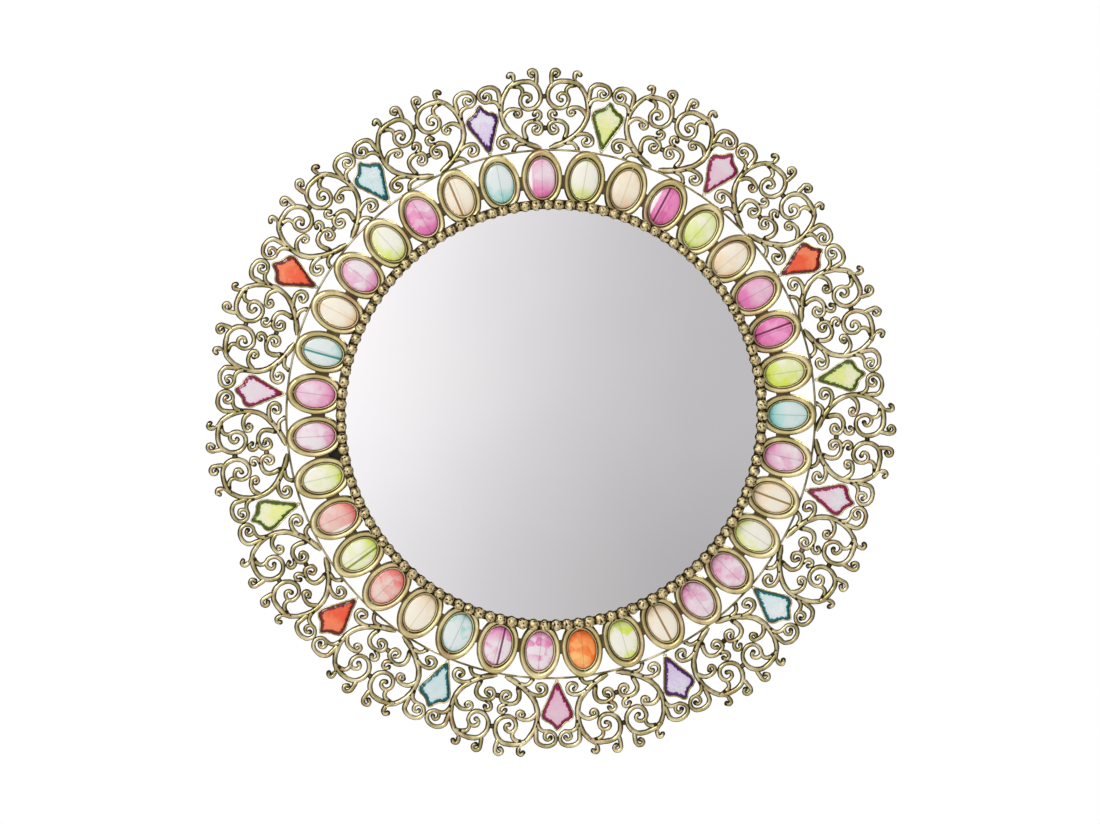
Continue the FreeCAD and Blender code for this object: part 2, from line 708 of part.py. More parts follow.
def make_hanger(side_name, side):
    """One strap hanger: a screwed strap whose hinge eye carries a swinging wire loop."""
    strap = new_body(f"Strap{side_name}")
    face = new_sketch(strap, f"StrapFace{side_name}", "XZ_Plane")
    outline(face, [
        ("-strap_width / 2", "-strap_length"), ("strap_width / 2", "-strap_length"),
        ("strap_width / 2", "-loop_wire"), ("hinge_width / 2", "0"),
        ("-hinge_width / 2", "0"), ("-strap_width / 2", "-loop_wire"),
    ])
    pad(strap, face, "strap_sheet", reverse=True)
    eye = new_sketch(strap, f"StrapEye{side_name}", "YZ_Plane")
    bore = "(loop_wire / 2 + hinge_play)"
    circle(eye, f"{bore} + hinge_wall", across=f"{bore} + hinge_wall")
    circle(eye, bore, across=f"{bore} + hinge_wall")
    pad(strap, eye, "hinge_width", both_ways=True)
    holes = new_sketch(strap, f"StrapHoles{side_name}", "XZ_Plane")
    for height in ("strap_hole_end - strap_length", "strap_hole_end + strap_hole_pitch - strap_length"):
        circle(holes, "screw_diameter / 2 + screw_play", up=height)
    drill(strap, holes)
    bind(strap, Placement__Base__x=f"{side} * hanger_spread", Placement__Base__y="-bumper_height",
         Placement__Base__z="hanger_rise")
    keep(strap, f"hanger_strap_{side_name.lower()}")

    half = value("loop_width / 2")
    height = value("loop_height")
    corner = value("loop_corner")
    bevel = corner * (1 - math.sqrt(0.5))
    path = Part.Wire([
        Part.LineSegment(V(corner - half, 0, 0), V(half - corner, 0, 0)).toShape(),
        Part.Arc(V(half - corner, 0, 0), V(half - bevel, 0, bevel), V(half, 0, corner)).toShape(),
        Part.LineSegment(V(half, 0, corner), V(half, 0, height - half)).toShape(),
        Part.Arc(V(half, 0, height - half), V(0, 0, height), V(-half, 0, height - half)).toShape(),
        Part.LineSegment(V(-half, 0, height - half), V(-half, 0, corner)).toShape(),
        Part.Arc(V(-half, 0, corner), V(bevel - half, 0, bevel), V(corner - half, 0, 0)).toShape(),
    ])
    section = Part.Wire(Part.Circle(V(corner - half, 0, 0), X_AXIS, value("loop_wire / 2")).toShape())
    loop = path.makePipeShell([section], True, False)
    tip_depth = value("bumper_height - loop_wire / 2 - loop_rest_gap")
    lean = math.degrees(math.asin((tip_depth - value(PIVOT_DEPTH)) / height))
    place = V(side * value("hanger_spread"), -value(PIVOT_DEPTH), value("hanger_rise"))
    node_of(f"hanger_loop_{side_name.lower()}", loop,
            FreeCAD.Placement(place, FreeCAD.Rotation(X_AXIS, lean)))


make_mirror_glass()
make_mirror_tray()
make_beads()
make_oval_settings()
make_stone_pins()
make_oval_stones()
make_setting_solder()
make_ring_wire()
make_scroll_panels()
make_kites()
make_bumpers()
make_board(make_screw())
make_hanger("Left", -1)
make_hanger("Right", 1)
doc.recompute()

for item in doc.Objects:
    if "Invalid" in item.State or "Error" in item.State:
        raise ValueError(f"{item.Label} failed to build")
for item in nodes:
    if item.Shape.isNull() or not item.Shape.isValid():
        raise ValueError(f"{item.Label} has no valid shape")
for item in nodes:
    item.Shape.exportStep(f"parts/{item.Label}.step")
    print(f"{item.Label}: {len(item.Shape.Solids)} solids, {item.Shape.Volume:.0f} mm3")
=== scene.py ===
"""A round wall mirror in an antique brass frame of beads, oval stones, scrolls and kite stones.

Lengths in the classes are millimetres, and angles are degrees clockwise from the top as the
viewer sees them. Depth is measured from the wall towards the viewer, who looks along +Y.
"""
import logging
import math
import random
from dataclasses import dataclass
from enum import Enum
from functools import cache
from typing import Any, Iterable, Sequence

import bmesh
import bpy
from mathutils import Matrix, Vector, noise


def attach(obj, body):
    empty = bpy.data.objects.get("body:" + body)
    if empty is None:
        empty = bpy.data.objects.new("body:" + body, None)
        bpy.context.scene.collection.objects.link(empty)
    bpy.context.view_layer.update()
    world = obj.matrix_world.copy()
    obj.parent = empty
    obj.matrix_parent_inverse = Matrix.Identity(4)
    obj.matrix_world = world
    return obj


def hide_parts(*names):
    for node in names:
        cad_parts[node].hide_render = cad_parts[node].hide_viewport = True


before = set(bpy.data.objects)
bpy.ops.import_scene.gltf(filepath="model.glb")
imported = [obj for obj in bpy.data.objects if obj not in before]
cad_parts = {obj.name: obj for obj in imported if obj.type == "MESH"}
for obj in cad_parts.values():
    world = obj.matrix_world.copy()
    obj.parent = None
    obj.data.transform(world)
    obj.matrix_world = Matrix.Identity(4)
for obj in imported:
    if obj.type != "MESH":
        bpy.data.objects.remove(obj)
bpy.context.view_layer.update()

LOG = logging.getLogger("framed_mirror")
MM = 0.001
# Points this close, in metres, are one
WELD = 1e-6
# An arc that turns by less than this, in radians, is a line
STRAIGHT = 1e-4
# Two headings that bend by less than this are the same
PARALLEL = 1e-9
# The middle of the noise values
NOISE_MEAN = 0.5
WHITE = (1.0, 1.0, 1.0, 1.0)
FRAME_BODY = "frame"
RELIEF = "relief"
ACROSS = "across"
ALONG = "along"
RIM = "rim"
STRENGTH = "strength"
FACING = Matrix.Rotation(math.pi / 2, 4, "X")

Colour = tuple[float, float, float, float]
Headed = tuple[float, float, float]
# The ends of a smooth step, and its results there where they aren't 0 and 1
Step = tuple[float, ...]


class StoneColour(Enum):
    """Colours of the glass stones."""

    AQUA = "aqua"
    CREAM = "cream"
    LIME = "lime"
    MAGENTA = "magenta"
    ORANGE = "orange"
    PINK = "pink"
    SALMON = "salmon"
    TEAL = "teal"
    VIOLET = "violet"


class Ending(Enum):
    """How a scrolled bar ends."""

    EYE = "eye"
    LEAF = "leaf"


def paint(red: int, green: int, blue: int) -> Colour:
    """A shader colour from the three numbers of a screen colour.

    Args:
        red: 0 to 255.
        green: 0 to 255.
        blue: 0 to 255.

    Returns:
        The linear colour with full cover.
    """
    parts = [part / 255 for part in (red, green, blue)]
    linear = [part / 12.92 if part <= 0.04045 else ((part + 0.055) / 1.055) ** 2.4 for part in parts]
    return (*linear, 1.0)


class NodeBench:
    """Adds and links the nodes of one shader tree."""

    def __init__(self, tree: bpy.types.NodeTree) -> None:
        """Work on the given tree."""
        self.tree = tree

    def add(self, kind: str, inputs: dict[str | int, Any] | None = None, **settings: Any) -> bpy.types.Node:
        """Add a node, set its options, and feed its inputs.

        Args:
            kind: Blender's name for the node type.
            inputs: a value, or a socket to link from, for each input by name or number.
            settings: the node's own options.

        Returns:
            The new node.
        """
        node = self.tree.nodes.new(kind)
        for name, setting in settings.items():
            setattr(node, name, setting)
        self.feed(node, inputs or {})
        return node

    def feed(self, node: bpy.types.Node, inputs: dict[str | int, Any]) -> None:
        """Set or link some of a node's inputs.

        Args:
            node: the node.
            inputs: a value, or a socket to link from, for each input by name or number.
        """
        for name, value in inputs.items():
            if isinstance(value, bpy.types.NodeSocket):
                self.tree.links.new(value, node.inputs[name])
            else:
                node.inputs[name].default_value = value

    def math(self, operation: str, first: Any, second: Any = 0.0,
             clamp: bool = False) -> bpy.types.NodeSocket:
        """One arithmetic step.

        Args:
            operation: the arithmetic, such as MULTIPLY.
            first: number or socket.
            second: number or socket.
            clamp: keep the result between 0 and 1.

        Returns:
            The result's socket.
        """
        node = self.add("ShaderNodeMath", {0: first, 1: second}, operation=operation, use_clamp=clamp)
        return node.outputs[0]

    def total(self, *terms: Any) -> bpy.types.NodeSocket:
        """The sum of several terms, kept between 0 and 1.

        Args:
            terms: numbers or sockets, two or more.

        Returns:
            The sum's socket.
        """
        result = terms[0]
        for term in terms[1:-1]:
            result = self.math("ADD", result, term)
        return self.math("ADD", result, terms[-1], clamp=True)

    def ramp(self, value: Any, low: float, high: float, start: float = 0.0,
             end: float = 1.0) -> bpy.types.NodeSocket:
        """A smooth step of a value.

        Args:
            value: number or socket.
            low: value at which the step starts.
            high: value at which the step ends.
            start: result up to low.
            end: result from high on.

        Returns:
            The result's socket.
        """
        limits = {"Value": value, "From Min": low, "From Max": high, "To Min": start, "To Max": end}
        return self.add("ShaderNodeMapRange", limits, interpolation_type="SMOOTHSTEP").outputs["Result"]

    def blend(self, factor: Any, first: Any, second: Any) -> bpy.types.NodeSocket:
        """Mix two colours.

        Args:
            factor: share of the second colour, number or socket.
            first: colour or socket.
            second: colour or socket.

        Returns:
            The mixed colour's socket.
        """
        return self.add("ShaderNodeMix", {0: factor, 6: first, 7: second}, data_type="RGBA").outputs[2]

    def grain(self, scale: Any, detail: float = 3.0, offset: float = 0.0) -> bpy.types.NodeSocket:
        """Noise fixed to the piece.

        Args:
            scale: cells per metre, number or socket.
            detail: octaves.
            offset: shift of the pattern in metres.

        Returns:
            The noise value's socket.
        """
        place = self.add("ShaderNodeTexCoord").outputs["Object"]
        if offset:
            place = self.add("ShaderNodeMapping", {"Vector": place, "Location": (offset,) * 3}).outputs[0]
        return self.add("ShaderNodeTexNoise", {"Vector": place, "Scale": scale, "Detail": detail}).outputs[0]

    def facets(self, scale: float) -> bpy.types.NodeSocket:
        """Crisp patches of chance values fixed to the piece.

        Args:
            scale: patches per metre.

        Returns:
            The value's socket.
        """
        place = self.add("ShaderNodeTexCoord").outputs["Object"]
        cells = self.add("ShaderNodeTexVoronoi", {"Vector": place, "Scale": scale}).outputs["Color"]
        return self.add("ShaderNodeSeparateColor", {0: cells}).outputs[0]

    def attribute(self, name: str) -> bpy.types.NodeSocket:
        """The value of a number stored on the piece's points."""
        return self.add("ShaderNodeAttribute", attribute_name=name).outputs["Fac"]

    def bump(self, height: bpy.types.NodeSocket, strength: float, distance: float) -> bpy.types.NodeSocket:
        """A surface roughened by a height.

        Args:
            height: the height's socket.
            strength: 0 to 1.
            distance: size of the height in metres.

        Returns:
            The normal's socket.
        """
        inputs = {"Height": height, "Strength": strength, "Distance": distance}
        return self.add("ShaderNodeBump", inputs).outputs[0]


class SharedEffect:
    """A shader node group that several finishes use, made on first use."""

    name: str
    inputs: dict[str, str]
    outputs: dict[str, str]

    def wire(self, bench: NodeBench, given: bpy.types.NodeOutputs) -> dict[str, bpy.types.NodeSocket]:
        """Add the effect's nodes.

        Args:
            bench: the bench for the nodes.
            given: the group's inputs.

        Returns:
            The socket for each output.
        """
        raise NotImplementedError

    @cache
    def group(self) -> bpy.types.NodeTree:
        """The effect as a node group.

        Returns:
            The group, made once.
        """
        group = bpy.data.node_groups.new(self.name, "ShaderNodeTree")
        for side, sockets in (("INPUT", self.inputs), ("OUTPUT", self.outputs)):
            for label, kind in sockets.items():
                group.interface.new_socket(name=label, in_out=side, socket_type=f"NodeSocket{kind}")
        bench = NodeBench(group)
        bench.add("NodeGroupOutput", self.wire(bench, bench.add("NodeGroupInput").outputs))
        return group

    def place(self, bench: NodeBench, inputs: dict[str, Any]) -> bpy.types.NodeOutputs:
        """Place the effect in a material, fed with its own values, and give its outputs."""
        return bench.add("ShaderNodeGroup", inputs, node_tree=self.group()).outputs


@dataclass(frozen=True)
class TarnishAndShade(SharedEffect):
    """Brass that is bright where its relief is high and dark where it is low: patina and rubbing, together
    with the painted highlights and painted shade that the relief also carries.
    """

    name = "tarnish_and_shade"
    inputs = {"Relief": "Float", "Bright": "Color", "Mellow": "Color", "Blush": "Color", "Dark": "Color",
              "Blotch Scale": "Float", "Grain Scale": "Float", "Matte": "Float"}
    outputs = {"Color": "Color", "Roughness": "Float", "Metallic": "Float", "Height": "Float"}
    unevenness: float = 0.7
    rubbed_and_lit: Step = (0.10, 0.80)
    yellowed: Step = (0.36, 0.64)
    blush_shift: float = 3.7
    blushed: Step = (0.52, 0.70, 0.0, 0.7)
    specked: Step = (0.58, 0.76, 0.0, 0.5)
    dulled: Step = (0.0, 1.0, 0.25, 0.0)
    roughened: Step = (0.3, 0.7, 0.26, 0.42)
    bared: Step = (0.0, 0.6, 0.35, 1.0)

    def wire(self, bench: NodeBench, given: bpy.types.NodeOutputs) -> dict[str, bpy.types.NodeSocket]:
        """Wear and painted light follow the relief, broken up by blotches.

        Args:
            bench: the bench for the nodes.
            given: the group's inputs.

        Returns:
            The socket for each output.
        """
        blotch = bench.grain(given["Blotch Scale"])
        fine = bench.grain(given["Grain Scale"], detail=5.0)
        uneven = bench.math("MULTIPLY", bench.math("SUBTRACT", blotch, NOISE_MEAN), self.unevenness)
        # This mask holds patina and rubbing together with the painted highlights and painted shade in the
        # relief
        wear_and_light = bench.ramp(bench.math("ADD", given["Relief"], uneven), *self.rubbed_and_lit)
        metal = bench.blend(bench.ramp(blotch, *self.yellowed), given["Mellow"], given["Bright"])
        blush = bench.ramp(bench.grain(given["Blotch Scale"], offset=self.blush_shift), *self.blushed)
        metal = bench.blend(blush, metal, given["Blush"])
        speck = bench.ramp(fine, *self.specked)
        colour = bench.blend(wear_and_light, given["Dark"], bench.blend(speck, metal, given["Dark"]))
        dull = bench.math("ADD", bench.ramp(wear_and_light, *self.dulled), given["Matte"])
        rough = bench.math("ADD", bench.ramp(fine, *self.roughened), dull)
        metallic = bench.ramp(wear_and_light, *self.bared)
        return {"Color": colour, "Roughness": rough, "Metallic": metallic, "Height": fine}


@dataclass(frozen=True)
class Mottle(SharedEffect):
    """Two colours in soft patches, with a fine grain for gloss and bump."""

    name = "mottle"
    inputs = {"Main": "Color", "Other": "Color", "Patch Scale": "Float", "Grain Scale": "Float",
              "Gloss": "Float"}
    outputs = {"Color": "Color", "Roughness": "Float", "Height": "Float"}
    patched: Step = (0.35, 0.68)
    gloss_spread: float = 0.25

    def wire(self, bench: NodeBench, given: bpy.types.NodeOutputs) -> dict[str, bpy.types.NodeSocket]:
        """Patches come from coarse noise, gloss from fine noise.

        Args:
            bench: the bench for the nodes.
            given: the group's inputs.

        Returns:
            The socket for each output.
        """
        fine = bench.grain(given["Grain Scale"], detail=4.0)
        patches = bench.ramp(bench.grain(given["Patch Scale"]), *self.patched)
        spread = bench.math("MULTIPLY", bench.math("SUBTRACT", fine, NOISE_MEAN), self.gloss_spread)
        return {"Color": bench.blend(patches, given["Main"], given["Other"]),
                "Roughness": bench.math("ADD", given["Gloss"], spread, clamp=True), "Height": fine}


@dataclass(frozen=True)
class OvalCloud(SharedEffect):
    """Clouded oval glass, coloured by the numbers stored on each stone."""

    name = "oval_glass"
    inputs = {"Pale": "Color", "Deep": "Color", "Rim": "Color", "Bar": "Color", "Crescent Highlight": "Color"}
    outputs = {"Color": "Color", "Height": "Float"}
    cloud_scale: float = 75.0
    clouded: Step = (0.36, 0.64, -0.4, 0.4)
    patch_scale: float = 105.0
    patched: Step = (0.0, 1.0, -0.55, 0.55)
    deepened: Step = (-1.0, 0.2, 0.70, 0.08)
    gathered: Step = (0.70, 1.0, 0.0, 0.28)
    bored: Step = (0.05, 0.10, 0.95, 0.0)
    pin_lean: float = 0.05
    pinned: Step = (0.015, 0.045, 0.35, 0.0)
    crescent: Step = (0.52, 0.64)
    edged: Step = (0.93, 0.99, 0.0, 0.75)

    def wire(self, bench: NodeBench, given: bpy.types.NodeOutputs) -> dict[str, bpy.types.NodeSocket]:
        """Pale inside, deep towards the mirror, with the bore, the pin, a painted highlight crescent, a
        painted shadow crescent and a dark edge.

        Args:
            bench: the bench for the nodes.
            given: the group's inputs.

        Returns:
            The socket for each output.
        """
        across = bench.attribute(ACROSS)
        along = bench.attribute(ALONG)
        cloud = bench.grain(self.cloud_scale, detail=4.0)
        patches = bench.math("ADD", bench.ramp(cloud, *self.clouded),
                             bench.ramp(bench.facets(self.patch_scale), *self.patched))
        radius = bench.math("SQRT", bench.math("ADD", bench.math("MULTIPLY", across, across),
                                               bench.math("MULTIPLY", along, along)))
        lean = bench.math("MULTIPLY", across, bench.attribute("lean"))
        strength = bench.total(bench.ramp(along, *self.deepened), lean, bench.attribute(STRENGTH),
                               bench.ramp(radius, *self.gathered),
                               bench.math("MULTIPLY", patches, bench.attribute("patch")))
        glass = bench.blend(strength, given["Pale"], given["Deep"])
        off_bar = bench.math("ABSOLUTE", bench.math("SUBTRACT", across, bench.attribute("bar")))
        glass = bench.blend(bench.ramp(off_bar, *self.bored), glass, given["Bar"])
        off_pin = bench.math("SUBTRACT", across, bench.math("MULTIPLY", along, self.pin_lean))
        glass = bench.blend(bench.ramp(bench.math("ABSOLUTE", off_pin), *self.pinned), glass, given["Rim"])
        # A white crescent of painted highlight on one side of a turned stone, and a painted shadow crescent
        # on the other
        for name, colour in (("crescent", "Crescent Highlight"), ("shade", "Rim")):
            side = bench.math("MULTIPLY", across, bench.attribute(name))
            glass = bench.blend(bench.ramp(side, *self.crescent), glass, given[colour])
        glass = bench.blend(bench.ramp(radius, *self.edged), glass, given["Rim"])
        return {"Color": glass, "Height": cloud}


@dataclass(frozen=True)
class KiteCloud(SharedEffect):
    """Clear kite glass, coloured by the numbers stored on each stone."""

    name = "kite_glass"
    inputs = {"Crown": "Color", "Pale": "Color", "Deep": "Color", "Edge": "Color"}
    outputs = {"Color": "Color", "Height": "Float"}
    cloud_scale: float = 90.0
    roof_spread: float = 0.45
    facet_scale: float = 130.0
    faceted: Step = (0.0, 1.0, -0.25, 0.25)
    crowned: Step = (-0.15, 0.45)
    clouded: Step = (0.45, 0.75, 0.0, 0.35)
    frayed: Step = (0.3, 0.7, -0.10, 0.10)
    deepened: Step = (0.15, 0.50)
    edged: Step = (0.50, 0.80)

    def wire(self, bench: NodeBench, given: bpy.types.NodeOutputs) -> dict[str, bpy.types.NodeSocket]:
        """A light crown, a tinted body and a dark edge.

        Args:
            bench: the bench for the nodes.
            given: the group's inputs.

        Returns:
            The socket for each output.
        """
        cloud = bench.grain(self.cloud_scale, detail=4.0)
        spread = bench.math("MULTIPLY", bench.math("ABSOLUTE", bench.attribute(ACROSS)), self.roof_spread)
        broken = bench.ramp(bench.facets(self.facet_scale), *self.faceted)
        roof = bench.math("ADD", bench.math("ADD", bench.attribute(ALONG), spread), broken)
        glass = bench.blend(bench.ramp(roof, *self.crowned), given["Pale"], given["Crown"])
        glass = bench.blend(bench.ramp(cloud, *self.clouded), glass, given["Crown"])
        glass = bench.blend(bench.attribute(STRENGTH), glass, given["Deep"])
        rim = bench.math("ADD", bench.attribute(RIM), bench.ramp(cloud, *self.frayed))
        glass = bench.blend(bench.ramp(rim, *self.deepened), glass, given["Deep"])
        glass = bench.blend(bench.ramp(rim, *self.edged), glass, given["Edge"])
        return {"Color": glass, "Height": cloud}


TARNISH_AND_SHADE = TarnishAndShade()
MOTTLE = Mottle()
OVAL_CLOUD = OvalCloud()
KITE_CLOUD = KiteCloud()


class Finish:
    """A finish that makes its material on first use."""

    name: str

    def wire(self, bench: NodeBench, shader: bpy.types.Node) -> None:
        """Add the finish's nodes and link them to the surface shader.

        Args:
            bench: the bench for the nodes.
            shader: the surface shader.
        """
        raise NotImplementedError

    @cache
    def material(self) -> bpy.types.Material:
        """The finish as a material.

        Returns:
            The material, made once.
        """
        made = bpy.data.materials.new(f"{self.name}_finish")
        made.use_nodes = True
        shader = next(node for node in made.node_tree.nodes if node.type == "BSDF_PRINCIPLED")
        self.wire(NodeBench(made.node_tree), shader)
        return made


@dataclass(frozen=True)
class Brass(Finish):
    """Antique brass, given patina, rubbing, painted highlights and painted shade by its own relief, or evenly
    by a plain one.
    """

    name: str
    bright: Colour = paint(230, 217, 174)
    mellow: Colour = paint(168, 156, 104)
    blush: Colour = paint(190, 156, 122)
    dark: Colour = paint(46, 36, 15)
    glint: Colour = paint(190, 170, 120)
    specular: float = 0.25
    blotch_scale: float = 60.0
    grain_scale: float = 700.0
    grain_depth: float = 0.0006
    plain_relief: float | None = None
    matte: float = 0.0
    dents: float = 0.25

    def wire(self, bench: NodeBench, shader: bpy.types.Node) -> None:
        """Link the tarnished skin, with its painted highlights and painted shade, to the surface shader.

        Args:
            bench: the bench for the nodes.
            shader: the surface shader.
        """
        # On the scrolls, ovals and beads the relief also paints highlights and shade
        relief = bench.attribute(RELIEF) if self.plain_relief is None else self.plain_relief
        skin = TARNISH_AND_SHADE.place(bench, {
            "Relief": relief, "Bright": self.bright, "Mellow": self.mellow, "Blush": self.blush,
            "Dark": self.dark, "Blotch Scale": self.blotch_scale, "Grain Scale": self.grain_scale,
            "Matte": self.matte,
        })
        bench.feed(shader, {
            "Base Color": skin["Color"], "Roughness": skin["Roughness"], "Metallic": skin["Metallic"],
            "Specular IOR Level": self.specular, "Specular Tint": self.glint,
            "Normal": bench.bump(skin["Height"], self.dents, self.grain_depth),
        })


@dataclass(frozen=True)
class Mottled(Finish):
    """A plain finish in two close colours, such as plate, paint, rubber or board."""

    name: str
    main: Colour
    other: Colour
    metallic: float = 0.0
    gloss: float = 0.5
    patch_scale: float = 60.0
    grain_scale: float = 900.0
    grain_depth: float = 0.0004
    dents: float = 0.2

    def wire(self, bench: NodeBench, shader: bpy.types.Node) -> None:
        """Link the mottled skin to the surface shader.

        Args:
            bench: the bench for the nodes.
            shader: the surface shader.
        """
        skin = MOTTLE.place(bench, {
            "Main": self.main, "Other": self.other, "Patch Scale": self.patch_scale,
            "Grain Scale": self.grain_scale, "Gloss": self.gloss,
        })
        bench.feed(shader, {
            "Base Color": skin["Color"], "Roughness": skin["Roughness"], "Metallic": self.metallic,
            "Normal": bench.bump(skin["Height"], self.dents, self.grain_depth),
        })


@dataclass(frozen=True)
class Silvered(Finish):
    """Silvered glass with the faintest haze."""

    name: str = "silvered_glass"
    clean: Colour = paint(246, 243, 245)
    hazy: Colour = paint(241, 239, 242)
    haze_scale: float = 5.0
    dimmed: Step = (0.35, 0.7)
    blurred: Step = (0.3, 0.8, 0.01, 0.03)

    def wire(self, bench: NodeBench, shader: bpy.types.Node) -> None:
        """Haze dims and blurs the reflection a little.

        Args:
            bench: the bench for the nodes.
            shader: the surface shader.
        """
        haze = bench.grain(self.haze_scale)
        bench.feed(shader, {"Base Color": bench.blend(bench.ramp(haze, *self.dimmed), self.clean, self.hazy),
                            "Roughness": bench.ramp(haze, *self.blurred), "Metallic": 1.0})


class Glass(Finish):
    """Tinted glass whose clouds ripple its surface."""

    colour: StoneColour
    kind: str
    roughness: float
    clearness: float
    ripple: float
    refraction = 1.45
    ripple_depth = 0.001

    @property
    def name(self) -> str:
        """The finish's name."""
        return f"{self.kind}_{self.colour.value}"

    def cloud(self, bench: NodeBench) -> bpy.types.NodeOutputs:
        """Place the stone's colours and clouds, and give their outputs."""
        raise NotImplementedError

    def wire(self, bench: NodeBench, shader: bpy.types.Node) -> None:
        """Link the clouded glass to the surface shader.

        Args:
            bench: the bench for the nodes.
            shader: the surface shader.
        """
        stone = self.cloud(bench)
        bench.feed(shader, {
            "Base Color": stone["Color"], "Roughness": self.roughness, "Transmission Weight": self.clearness,
            "IOR": self.refraction, "Normal": bench.bump(stone["Height"], self.ripple, self.ripple_depth),
        })


@dataclass(frozen=True)
class OvalGlass(Glass):
    """Clouded oval glass: pale inside, deep towards the mirror, dark at its very edge."""

    colour: StoneColour
    pale: Colour
    deep: Colour
    rim: Colour
    bar: Colour
    # The white of the painted highlight crescent
    crescent_highlight: Colour = paint(250, 248, 244)
    kind = "oval_glass"
    roughness = 0.12
    clearness = 0.22
    ripple = 0.15

    def cloud(self, bench: NodeBench) -> bpy.types.NodeOutputs:
        """Place an oval stone's colours and clouds, and give their outputs."""
        return OVAL_CLOUD.place(bench, {"Pale": self.pale, "Deep": self.deep, "Rim": self.rim,
                                        "Bar": self.bar, "Crescent Highlight": self.crescent_highlight})


@dataclass(frozen=True)
class KiteGlass(Glass):
    """Clear kite glass whose scalloped edges gather a deep colour."""

    colour: StoneColour
    crown: Colour
    pale: Colour
    deep: Colour
    edge: Colour
    kind = "kite_glass"
    roughness = 0.08
    clearness = 0.35
    ripple = 0.10

    def cloud(self, bench: NodeBench) -> bpy.types.NodeOutputs:
        """Place a kite stone's colours and clouds, and give their outputs."""
        return KITE_CLOUD.place(bench, {"Crown": self.crown, "Pale": self.pale, "Deep": self.deep,
                                        "Edge": self.edge})


SCROLL_BRASS = Brass("scroll_brass")
OVAL_BRASS = Brass("oval_brass", bright=paint(240, 226, 176), mellow=paint(200, 184, 126), blotch_scale=30.0,
                   matte=0.06)
BEAD_BRASS = Brass("bead_brass", bright=paint(234, 220, 176), mellow=paint(188, 172, 124), blotch_scale=260.0,
                   grain_scale=520.0, matte=0.22, dents=0.6)
WIRE_BRASS = Brass("wire_brass", plain_relief=0.45)
PIN_BRASS = Brass("pin_brass", plain_relief=1.0)
KITE_WIRE = Brass("kite_wire", plain_relief=0.75)
# Kept dark all over: painted shade where the tray shows between the beads and the mirror
TRAY_BRASS = Brass("tray_brass", plain_relief=0.15)
SOLDER = Mottled("dark_solder", paint(62, 51, 32), paint(92, 78, 50), metallic=0.4, gloss=0.55)
BLACK_PAINT = Mottled("black_paint", paint(13, 13, 13), paint(22, 21, 20), gloss=0.55)
RUBBER = Mottled("bumper_rubber", paint(36, 36, 36), paint(50, 49, 48), gloss=0.75)
ZINC = Mottled("zinc_plate", paint(196, 196, 193), paint(176, 178, 178), metallic=0.8, gloss=0.40,
               patch_scale=140.0)
HARDBOARD = Mottled("hardboard", paint(119, 93, 69), paint(133, 106, 80), gloss=0.70, patch_scale=16.0,
                    grain_scale=420.0, dents=0.45)
FLOOR = Mottled("pale_floor", paint(231, 231, 230), paint(236, 236, 235), gloss=0.6, patch_scale=1.5)

OVAL_GLASS = {
    glass.colour: glass for glass in (
        OvalGlass(StoneColour.AQUA, paint(227, 234, 233), paint(124, 214, 206), paint(24, 128, 118),
                  paint(0, 140, 128)),
        OvalGlass(StoneColour.CREAM, paint(246, 239, 222), paint(250, 214, 168), paint(186, 150, 100),
                  paint(154, 116, 16)),
        OvalGlass(StoneColour.LIME, paint(245, 242, 230), paint(222, 236, 88), paint(136, 144, 54),
                  paint(132, 146, 12)),
        OvalGlass(StoneColour.MAGENTA, paint(248, 164, 212), paint(220, 92, 158), paint(112, 14, 68),
                  paint(112, 0, 60)),
        OvalGlass(StoneColour.ORANGE, paint(255, 204, 128), paint(250, 112, 4), paint(170, 64, 8),
                  paint(150, 50, 0)),
        OvalGlass(StoneColour.PINK, paint(238, 229, 233), paint(234, 126, 186), paint(146, 44, 88),
                  paint(132, 22, 88)),
        OvalGlass(StoneColour.SALMON, paint(236, 212, 202), paint(242, 122, 116), paint(164, 78, 70),
                  paint(150, 30, 30)),
    )
}
KITE_GLASS = {
    glass.colour: glass for glass in (
        KiteGlass(StoneColour.LIME, paint(247, 244, 214), paint(240, 242, 162), paint(164, 198, 44),
                  paint(66, 82, 10)),
        KiteGlass(StoneColour.ORANGE, paint(250, 142, 96), paint(246, 98, 58), paint(210, 44, 20),
                  paint(92, 14, 6)),
        KiteGlass(StoneColour.PINK, paint(234, 231, 234), paint(237, 219, 229), paint(222, 72, 150),
                  paint(124, 10, 60)),
        KiteGlass(StoneColour.TEAL, paint(240, 243, 244), paint(228, 240, 242), paint(48, 172, 172),
                  paint(8, 82, 88)),
        KiteGlass(StoneColour.VIOLET, paint(238, 236, 242), paint(231, 218, 241), paint(146, 66, 176),
                  paint(54, 12, 68)),
    )
}


def spot(across: float, outward: float, depth: float) -> Vector:
    """A point above the mirror's centre, from its distances in millimetres."""
    return Vector((across, -depth, outward)) * MM


def about_mirror(angle: float) -> Matrix:
    """A clockwise turn about the mirror's axis."""
    return Matrix.Rotation(math.radians(angle), 4, "Y")


def loop_edges(verts: Iterable[bmesh.types.BMVert]) -> list[bmesh.types.BMEdge]:
    """The edges that run between the given vertices.

    Args:
        verts: the vertices.

    Returns:
        The edges, each once, in the order of the vertices.
    """
    inside = dict.fromkeys(verts)
    edges = (edge for vert in inside for edge in vert.link_edges if edge.other_vert(vert) in inside)
    return list(dict.fromkeys(edges))


def new_ring(bm: bmesh.types.BMesh, places: Sequence[Vector]) -> list[bmesh.types.BMVert]:
    """A closed ring of vertices and edges.

    Args:
        bm: the mesh being built.
        places: where the vertices lie, in order.

    Returns:
        The ring's vertices.
    """
    ring = [bm.verts.new(place) for place in places]
    for vert, after in zip(ring, ring[1:] + ring[:1]):
        bm.edges.new((vert, after))
    return ring


